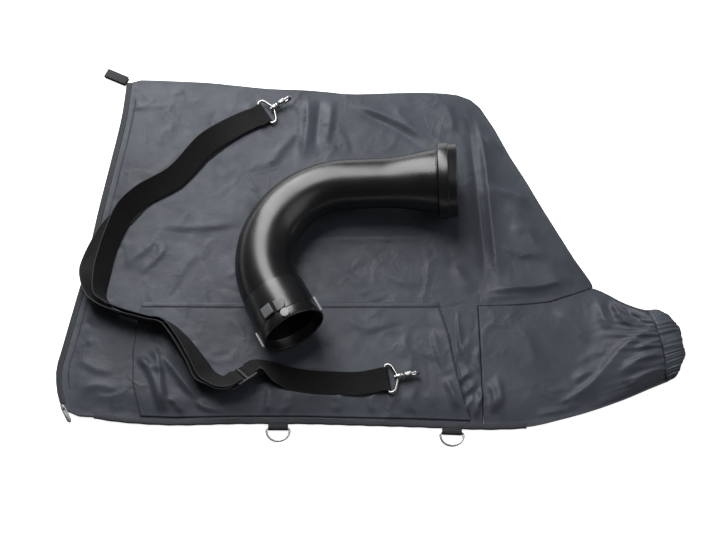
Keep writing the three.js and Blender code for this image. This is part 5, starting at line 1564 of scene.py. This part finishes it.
def shoulder_strap():
    """Webbing with rounded, slightly thicker edges."""
    edges = np.array([[list(a), list(b)] for a, b in strap_stations()])
    middle = edges.mean(1)
    knots = np.concatenate([[0], np.cumsum(np.sqrt(np.linalg.norm(np.diff(middle, axis=0), axis=1)))])
    one, two = (smoothed(edges[:, k], knots) for k in (0, 1))
    centre = (one + two) / 2
    across = (two - one) / np.linalg.norm(two - one, axis=1)[:, None]
    along = np.gradient(centre, axis=0)
    off = np.cross(along, across)
    off /= np.linalg.norm(off, axis=1)[:, None]
    half, thick = STRAP_WIDTH / 2, STRAP_THICK / 2
    right = [(half - 2.6, thick * 0.82), (half - 1.6, thick), (half - 0.5, thick * 0.8), (half, 0.0)]
    below = [(w, -t) for w, t in right[-2::-1]]
    section = right + below
    section = np.array(section + [(-w, t) for w, t in section[::-1]])
    rings = centre[:, None] + section[None, :, :1] * across[:, None] + section[None, :, 1:] * off[:, None]
    piece = sweep("shoulder_strap", in_frame(rings), finish("webbing"), "webbing", replaced=["strap_webbing"],
                  crease_angle=STRAP_CREASE)
    run = lengths_along(centre) * MM
    uv = np.stack(np.broadcast_arrays(section[None, :, 0] * MM, run[:, None]), -1)
    set_uv(piece, uv.reshape(-1, 2))


# Metal pieces

TURNED_SIDES = 28
METAL_CREASE = 50


def joint_place(swivel, pivot):
    """Origin and turn of a hook: X along it, Y across the strap, from its two joints."""
    x = Vector(JOINTS[swivel]["axis"]).normalized()
    y = -Vector(JOINTS[pivot]["axis"]).normalized()
    return Vector(JOINTS[swivel]["pos_m"]), Matrix((x, y, x.cross(y))).transposed()


def ring_place(joint):
    x = -Vector(JOINTS[joint]["axis"]).normalized()
    z = Vector((0, 0, 1))
    return Vector(JOINTS[joint]["pos_m"]), Matrix((x, z.cross(x), z)).transposed()


def placed(points, origin, turn):
    """Local millimetres to the frame."""
    return np.asarray(points, float) * MM @ np.array(turn).T + np.array(origin)


def joined(parts):
    """Point and face lists of several closed shapes as one."""
    points, faces = [], []
    for ring_set, closed in parts:
        base = sum(len(p) for p in points)
        count, around = ring_set.shape[:2]
        faces += grid_faces(count, around, wrap_rows=closed, wrap_cols=True, base=base)
        if not closed:
            faces.append([base + k for k in range(around)][::-1])
            faces.append([base + (count - 1) * around + k for k in range(around)])
        points.append(ring_set.reshape(-1, 3))
    return np.vstack(points), faces


def turned_on_x(profile, z=0.0):
    """Rings of a shape turned about the local X axis, from [x, radius] steps."""
    angle = np.linspace(0, 2 * np.pi, TURNED_SIDES, endpoint=False)
    return np.array([
        [(x, r * math.cos(a), z + r * math.sin(a)) for a in angle] for x, r in profile
    ]), False


def with_edges(start, end, radius, edge=0.5):
    """[x, radius] steps of a cylinder with rounded rims."""
    return [(start, radius - edge), (start + edge * 0.3, radius - edge * 0.3), (start + edge, radius),
            (end - edge, radius), (end - edge * 0.3, radius - edge * 0.3), (end, radius - edge)]


def d_ring(side):
    """Half-round ring of wire with its straight bar in the tab."""
    origin, turn = ring_place(f"d_ring_{side}_pivot")
    half = RING_INSIDE / 2 + RING_WIRE / 2
    bow = [(-half * math.cos(a), -3 - (RING_DEPTH - 3) * math.sin(a)) for a in np.linspace(0, math.pi, 40)]
    bar = [(x, 0) for x in np.linspace(half - 1.5, 1.5 - half, 12)]
    path = np.array([*bar, *bow])
    loop = resample(np.vstack([path, path[:1]]), 120)[:-1]
    loop = (np.roll(loop, 1, 0) + loop + np.roll(loop, -1, 0)) / 3
    rings = rings_along(np.column_stack([loop, np.zeros(len(loop))]), RING_WIRE / 2, 18, closed=True)
    sweep(f"d_ring_{side}_wire", placed(rings, origin, turn), finish("nickel"), "nickel", closed=True,
          body=f"d_ring_{side}_body", replaced=[f"d_ring_{side}"])


BARREL_FROM = EYE_DEPTH - EYE_WIRE / 2 - 0.2
BARREL_TO = BARREL_FROM + BARREL_LENGTH
BASE_FROM = BARREL_TO + RUN
BASE_TO = BASE_FROM + BASE_LENGTH
GATE_TO = BASE_TO + GATE_TUBE_LENGTH
NOSE_X = BASE_TO + HOOK_REACH


def hook_eye(side):
    """Flat loop that holds the webbing, with the swivel's barrel at its head."""
    origin, turn = joint_place(f"{side}_hook_swivel", f"{side}_eye_pivot")
    s = EYE_INSIDE / 2 + EYE_WIRE / 2
    plan = [(0, -s + 4), (0, 0), (0, s - 4), (1.4, s - 1), (5, s), (9, s - 1.5), (12, s - 6), (14.5, s - 13),
            (EYE_DEPTH - 0.4, 4), (EYE_DEPTH - 0.4, -4), (14.5, 13 - s), (12, 6 - s), (9, 1.5 - s), (5, -s),
            (1.4, 1 - s), (0, -s + 4)]
    loop = smooth_line(plan, 110)[:-1]
    wire = rings_along(np.column_stack([loop, np.zeros(len(loop))]), EYE_WIRE / 2, 16, closed=True), True
    barrel = turned_on_x(with_edges(BARREL_FROM, BARREL_TO, BARREL_R, 0.8))
    collar = turned_on_x(with_edges(BARREL_TO - 2.4, BARREL_TO - 0.4, BARREL_R + 0.35, 0.4))
    points, faces = joined([wire, barrel, collar])
    new_piece(f"{side}_eye_wire", placed(points, origin, turn), faces, finish("nickel"), "nickel",
              body=f"{side}_eye_body", replaced=[f"{side}_eye"], crease_angle=METAL_CREASE)


def hook_body(side):
    """Cast hook: riveted stem, base, bent back and the tube that the bolt slides in."""
    origin, turn = joint_place(f"{side}_hook_swivel", f"{side}_eye_pivot")
    head = turned_on_x([(BARREL_FROM - 2.6, 1.2), (BARREL_FROM - 2.3, 2.8), (BARREL_FROM - 1.4, 3.9),
                        (BARREL_FROM - 0.4, 3.9)])
    stem = turned_on_x([(BARREL_FROM - 1, 2.4), (BASE_FROM + 1, 2.4)])
    base = turned_on_x([*with_edges(BASE_FROM, BASE_FROM + 1.8, BASE_R, 0.5), (BASE_FROM + 2.1, BASE_R - 0.9),
                        (BASE_FROM + 2.5, BASE_R - 0.9), *with_edges(BASE_FROM + 2.7, BASE_TO, BASE_R, 0.6)])
    tube = with_edges(BASE_TO + 0.6, GATE_TO, GATE_TUBE_R, 0.5)
    gate = turned_on_x([(BASE_TO - 1.5, GATE_TUBE_R + 0.8), *tube, (GATE_TO - 0.5, BOLT_R + 0.1)], z=GATE_Z)
    rise = (GATE_Z - HOOK_BACK_Z) / 2
    centre_x = NOSE_X - rise - HOOK_WIRE / 2
    bend = [(centre_x + rise * math.cos(a), 0, HOOK_BACK_Z + rise + rise * math.sin(a))
            for a in np.linspace(-math.pi / 2, math.pi / 2, 22)]
    back = [(BASE_TO - 2, 0, HOOK_BACK_Z + 2.2), (BASE_TO + 1.5, 0, HOOK_BACK_Z + 0.8),
            (BASE_TO + 5, 0, HOOK_BACK_Z)]
    tip = (GATE_TO + HOOK_MOUTH, 0, GATE_Z)
    path = np.array([*back, *bend, tip])
    radius = np.interp(np.arange(len(path)), [0, 2, len(path) - 8, len(path) - 1], [3.2, 2.3, 2.5, 2.1])
    wire = rings_along(path, radius, 18), False
    lips = []
    knob_x = GATE_TO - KNOB_BACK
    for y in (-1, 1):
        x0, x1 = knob_x - BOLT_TRAVEL - KNOB_R, knob_x + KNOB_R + 0.4
        rail = np.array([(x0, y * (KNOB_R + 0.5), GATE_Z + 3.0), (x1, y * (KNOB_R + 0.5), GATE_Z + 3.0)])
        lips.append((rings_along(resample(rail, 4), 0.75, 10), False))
    points, faces = joined([head, stem, base, gate, wire, *lips])
    new_piece(f"{side}_hook_cast", placed(points, origin, turn), faces, finish("nickel"), "nickel",
              body=f"{side}_hook_body", replaced=[f"{side}_hook"], crease_angle=METAL_CREASE)


def hook_bolt(side):
    """Sliding bolt with its thumb knob."""
    origin, turn = joint_place(f"{side}_hook_swivel", f"{side}_eye_pivot")
    rod_end = GATE_TO + HOOK_MOUTH - GAP
    rod = turned_on_x(with_edges(BASE_TO + BOLT_TRAVEL + 1, rod_end, BOLT_R, 0.4), z=GATE_Z)
    knob_x = GATE_TO - KNOB_BACK
    steps = [(GATE_Z, 1.3), (6.2, 1.3), (6.6, 1.35), (7.4, 1.4), (8.3, 1.4), (KNOB_TOP, 1.0)]
    angle = np.linspace(0, 2 * np.pi, 20, endpoint=False)
    rings = [[(knob_x + r * math.cos(a), r * math.sin(a), z) for a in angle] for z, r in steps]
    knob = np.array(rings), False
    points, faces = joined([rod, knob])
    new_piece(f"{side}_bolt_rod", placed(points, origin, turn), faces, finish("nickel"), "nickel",
              body=f"{side}_bolt_body", replaced=[f"{side}_bolt"], crease_angle=METAL_CREASE)


# Elbow duct

BEND_END = DUCT_STRAIGHT + DUCT_BEND_R * DUCT_TURN
DUCT_END = BEND_END + DUCT_TAIL
COLLAR_FROM = DUCT_END - COLLAR_LENGTH
SLEEVE_END = DUCT_END - MOUTH_LENGTH
DUCT_CREASE = 40
DUCT_STEPS = (34, 70)
COLLAR_FITTINGS = (
    ("stop_block", 1.0, "stop"), ("latch_pad", 0.9, "duct"), ("collar_pin", 0.9, "lug"),
    ("lug_rib_1", 0.8, "lug"), ("lug_rib_2", 0.8, "lug"),
)


def duct_place():
    """Origin and turn of the duct: X along its straight part, Z square to the plane of its bend."""
    normal = Vector((-DUCT_RISE[0], -DUCT_RISE[1], 1)).normalized()
    turn = Vector((0, 0, 1)).rotation_difference(normal).to_matrix()
    face = Vector(MOUNTS["duct_flange_face"]["pos_m"])
    return face - turn @ Vector((0, 0, FLANGE_POINT_R * MM)), turn


def duct_line(s):
    """Point and direction on the duct's middle line."""
    t = np.clip((s - DUCT_STRAIGHT) / DUCT_BEND_R, 0, DUCT_TURN)
    along = np.array([-math.cos(t), -math.sin(t), 0])
    at = np.array([
        -min(s, DUCT_STRAIGHT) - DUCT_BEND_R * math.sin(t),
        -DUCT_BEND_R * (1 - math.cos(t)),
        0,
    ]) + along * max(s - BEND_END, 0)
    return at, along


def duct_radius(s):
    cone = (CONE_END_R - DUCT_R) * ramp((CONE_START - s) / (CONE_START - FLANGE_LENGTH) * 0.8) / ramp(0.8)
    swell = (DUCT_END_R - DUCT_R) * ramp((s - DUCT_STRAIGHT) / (BEND_END - DUCT_STRAIGHT))
    return DUCT_R + (cone if s < CONE_START else swell)


def duct_ring(name, profile, node):
    """Hollow piece on the duct's line, from a closed outline of [distance, radius] points."""
    sides = bpy.context.scene.leaf_duct.sides
    angle = 2 * np.pi * np.arange(sides) / sides
    origin, turn = duct_place()
    up = np.array([0, 0, 1])
    rings = []
    for s, radius in profile:
        at, along = duct_line(s)
        side = np.array([-along[1], along[0], 0])
        rings.append(at + radius * (np.cos(angle)[:, None] * side + np.sin(angle)[:, None] * up))
    points = placed(np.array(rings), origin, turn)
    sweep(name, points, finish("duct"), "duct_plastic", closed=True, replaced=[node],
          crease_angle=DUCT_CREASE)


def duct_tube():
    start = FLANGE_LENGTH + BEAD_LENGTH + 2 * GAP
    straight = np.linspace(start, DUCT_STRAIGHT, DUCT_STEPS[0])
    bent = np.linspace(DUCT_STRAIGHT, COLLAR_FROM - GAP, DUCT_STEPS[1])
    stops = np.concatenate([straight, bent[1:]])
    outer = [(s, duct_radius(s)) for s in stops]
    inner = [(s, duct_radius(s) - DUCT_WALL) for s in stops[::-1]]
    duct_ring("duct_tube", outer + inner, "elbow_tube")


def duct_flange():
    bore = CONE_END_R - DUCT_WALL
    end = FLANGE_LENGTH
    step = end * 0.45
    low = FLANGE_R - FLANGE_STEP
    profile = [
        (0.6, bore), (0, bore + 0.6), (0, low - 1.4), (0.4, low - 0.4), (1.4, low), (step - 0.9, low),
        (step - 0.3, low + 0.2), (step, low + 0.8), (step + 0.1, FLANGE_R - 0.9), (step + 0.9, FLANGE_R),
        (end - 1.2, FLANGE_R), (end - 0.3, FLANGE_R - 0.5), (end, FLANGE_R - 1.4), (end, bore),
    ]
    duct_ring("duct_flange", profile, "elbow_flange")
    start = end + GAP
    bead = [(start, bore), (start, BEAD_R - 0.8), (start + 0.5, BEAD_R - 0.2), (start + 1.5, BEAD_R),
            (start + 2.5, BEAD_R - 0.2), (start + BEAD_LENGTH, BEAD_R - 0.8), (start + BEAD_LENGTH, bore)]
    duct_ring("duct_bead", bead, "flange_bead")


def duct_collar():
    inner = MOUTH_R - COLLAR_WALL
    profile = [
        (COLLAR_FROM, DUCT_END_R + 0.3), (COLLAR_FROM, COLLAR_R - 0.8), (COLLAR_FROM + 0.2, COLLAR_R - 0.25),
        (COLLAR_FROM + 0.8, COLLAR_R), (SLEEVE_END - 1.4, COLLAR_R), (SLEEVE_END - 0.7, COLLAR_R - 0.7),
        (SLEEVE_END, MOUTH_R - 0.3), (SLEEVE_END + 0.5, MOUTH_R), (DUCT_END - 1, MOUTH_R),
        (DUCT_END - 0.2, MOUTH_R - 0.5), (DUCT_END, MOUTH_R - 1.2), (DUCT_END, inner + 1),
        (DUCT_END - 0.4, inner + 0.3), (DUCT_END - 1.2, inner), (SLEEVE_END + 1, inner),
        (SLEEVE_END, inner - 0.8), (SLEEVE_END - 1, inner - 1),
        (COLLAR_FROM + 3, inner - 1), (COLLAR_FROM, DUCT_END_R - DUCT_WALL),
    ]
    duct_ring("duct_collar", profile, "inlet_collar")
    for node, width, name in COLLAR_FITTINGS:
        softened(node, width, finish(name), segments=4)


# Stage


def soft_light(name, at, target, size, power):
    data = bpy.data.lights.new(name, "AREA")
    data.shape = "RECTANGLE"
    data.size, data.size_y = size
    data.energy = power
    lamp = bpy.data.objects.new(name, data)
    lamp.location = at
    lamp.rotation_euler = (Vector(target) - Vector(at)).to_track_quat("-Z", "Y").to_euler()
    bpy.context.scene.collection.objects.link(lamp)


def make_camera():
    middle = Vector(in_frame([0, 0, 0]))
    back = Vector((0, -math.cos(CAMERA_ELEVATION), math.sin(CAMERA_ELEVATION)))
    data = bpy.data.cameras.new("camera")
    data.lens = CAMERA_LENS
    data.sensor_width = CAMERA_SENSOR
    data.clip_end = 50
    camera = bpy.data.objects.new("camera", data)
    camera.location = middle + back * CAMERA_DISTANCE
    camera.rotation_euler = (-back).to_track_quat("-Z", "Y").to_euler()
    bpy.context.scene.collection.objects.link(camera)
    bpy.context.scene.camera = camera


def make_floor(tone):
    """Pale floor that shows white to the camera and keeps the object's shadow."""
    ends = [(x * FLOOR_HALF, y * FLOOR_HALF, 0) for x, y in ((-1, -1), (1, -1), (1, 1), (-1, 1))]
    mesh = bpy.data.meshes.new("floor")
    mesh.from_pydata(ends, [], [(0, 1, 2, 3)])
    floor = bpy.data.objects.new("floor", mesh)
    floor.location.z = -FLOOR_BELOW
    bpy.context.scene.collection.objects.link(floor)
    material, tree, shader = new_material("Floor", (tone, tone, tone), 0.9)
    shader.inputs["Specular IOR Level"].default_value = 0.0
    mesh.materials.append(material)
    path = tree.nodes.new("ShaderNodeLightPath")
    level = math_node(tree, "MULTIPLY", path.outputs["Is Camera Ray"], FLOOR_GLOW)
    tree.links.new(level, shader.inputs["Emission Strength"])
    shader.inputs["Emission Color"].default_value = (1, 1, 1, 1)


def make_world(level):
    world = bpy.data.worlds.new("Surround")
    bpy.context.scene.world = world
    world.use_nodes = True
    tree = world.node_tree
    background = tree.nodes["Background"]
    background.inputs["Color"].default_value = (1, 1, 1, 1)
    path = tree.nodes.new("ShaderNodeLightPath")
    seen = math_node(tree, "MAXIMUM", path.outputs["Is Camera Ray"], path.outputs["Is Transmission Ray"])
    extra = math_node(tree, "MULTIPLY", seen, 1.0 - level)
    tree.links.new(math_node(tree, "ADD", extra, level), background.inputs["Strength"])


# Operators


class LeafOperator:
    bl_options = {"REGISTER", "UNDO"}


class LEAF_OT_cloth(LeafOperator, bpy.types.Operator):
    """Make the bag's panels, pocket, neck and cuff"""
    bl_idname = "leaf.cloth"
    bl_label = "Bag cloth"

    def execute(self, context):
        back_cloth()
        front_cloth()
        pocket_cloth()
        neck_cloth()
        cuff_cloth()
        elastic_band()
        return {"FINISHED"}


class LEAF_OT_edges(LeafOperator, bpy.types.Operator):
    """Make the zip, the edge binding and the sewn tabs"""
    bl_idname = "leaf.edges"
    bl_label = "Zip and edges"

    def execute(self, context):
        edge_binding()
        zip_edge()
        sewn_tabs()
        softened("zip_slider", 0.5, finish("dark nickel"))
        softened("zip_pull", 0.4, finish("dark nickel"), body="zip_pull_body")
        return {"FINISHED"}


class LEAF_OT_strap(LeafOperator, bpy.types.Operator):
    """Make the shoulder strap and its glide"""
    bl_idname = "leaf.strap"
    bl_label = "Shoulder strap"

    def execute(self, context):
        shoulder_strap()
        softened("tri_glide", 0.8, finish("glide"), segments=4)
        return {"FINISHED"}


class LEAF_OT_metal(LeafOperator, bpy.types.Operator):
    """Make the snap hooks and the D-rings"""
    bl_idname = "leaf.metal"
    bl_label = "Hooks and rings"

    def execute(self, context):
        for side in ("upper", "lower"):
            hook_eye(side)
            hook_body(side)
            hook_bolt(side)
        for side in ("left", "right"):
            d_ring(side)
        return {"FINISHED"}


class LEAF_OT_duct(LeafOperator, bpy.types.Operator):
    """Make the elbow duct with its flange and collar"""
    bl_idname = "leaf.duct"
    bl_label = "Elbow duct"

    def execute(self, context):
        duct_tube()
        duct_flange()
        duct_collar()
        return {"FINISHED"}


class LEAF_OT_stage(LeafOperator, bpy.types.Operator):
    """Make the floor, the lights and the camera"""
    bl_idname = "leaf.stage"
    bl_label = "Stage"

    def execute(self, context):
        settings = context.scene.leaf_stage
        context.scene.view_settings.view_transform = "Standard"
        make_camera()
        make_floor(settings.floor_tone)
        make_world(settings.world_level)
        soft_light("key", KEY_AT, KEY_AIM, KEY_SIZE, settings.key_power)
        soft_light("fill", FILL_AT, FILL_AIM, FILL_SIZE, settings.fill_power)
        return {"FINISHED"}


OPERATORS = (LEAF_OT_stage, LEAF_OT_cloth, LEAF_OT_edges, LEAF_OT_strap, LEAF_OT_metal, LEAF_OT_duct)
SETTINGS = {
    "leaf_cloth": ClothSettings,
    "leaf_webbing": WebbingSettings,
    "leaf_duct": DuctSettings,
    "leaf_stage": StageSettings,
}


class LEAF_PT_panel(bpy.types.Panel):
    """Settings and steps of the leaf collection bag"""
    bl_idname = "LEAF_PT_panel"
    bl_label = "Leaf collection bag"
    bl_space_type = "VIEW_3D"
    bl_region_type = "UI"
    bl_category = "Leaf bag"

    def draw(self, context):
        for name, kind in SETTINGS.items():
            box = self.layout.box()
            box.label(text=kind.__doc__)
            for field in kind.__annotations__:
                box.prop(getattr(context.scene, name), field)
        for operator in OPERATORS:
            self.layout.operator(operator.bl_idname)


def register():
    for kind in (*SETTINGS.values(), *OPERATORS, LEAF_PT_panel):
        bpy.utils.register_class(kind)
    for name, kind in SETTINGS.items():
        setattr(bpy.types.Scene, name, bpy.props.PointerProperty(type=kind))


def unregister():
    for name in SETTINGS:
        delattr(bpy.types.Scene, name)
    for kind in (LEAF_PT_panel, *reversed(OPERATORS), *SETTINGS.values()):
        bpy.utils.unregister_class(kind)


def corners(box):
    return [[round(v, 5) for v in corner] for corner in box]


def main():
    register()
    for operator in OPERATORS:
        group_name, step = operator.bl_idname.split(".")
        getattr(getattr(bpy.ops, group_name), step)()
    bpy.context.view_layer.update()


if __name__ == "__main__":
    main()
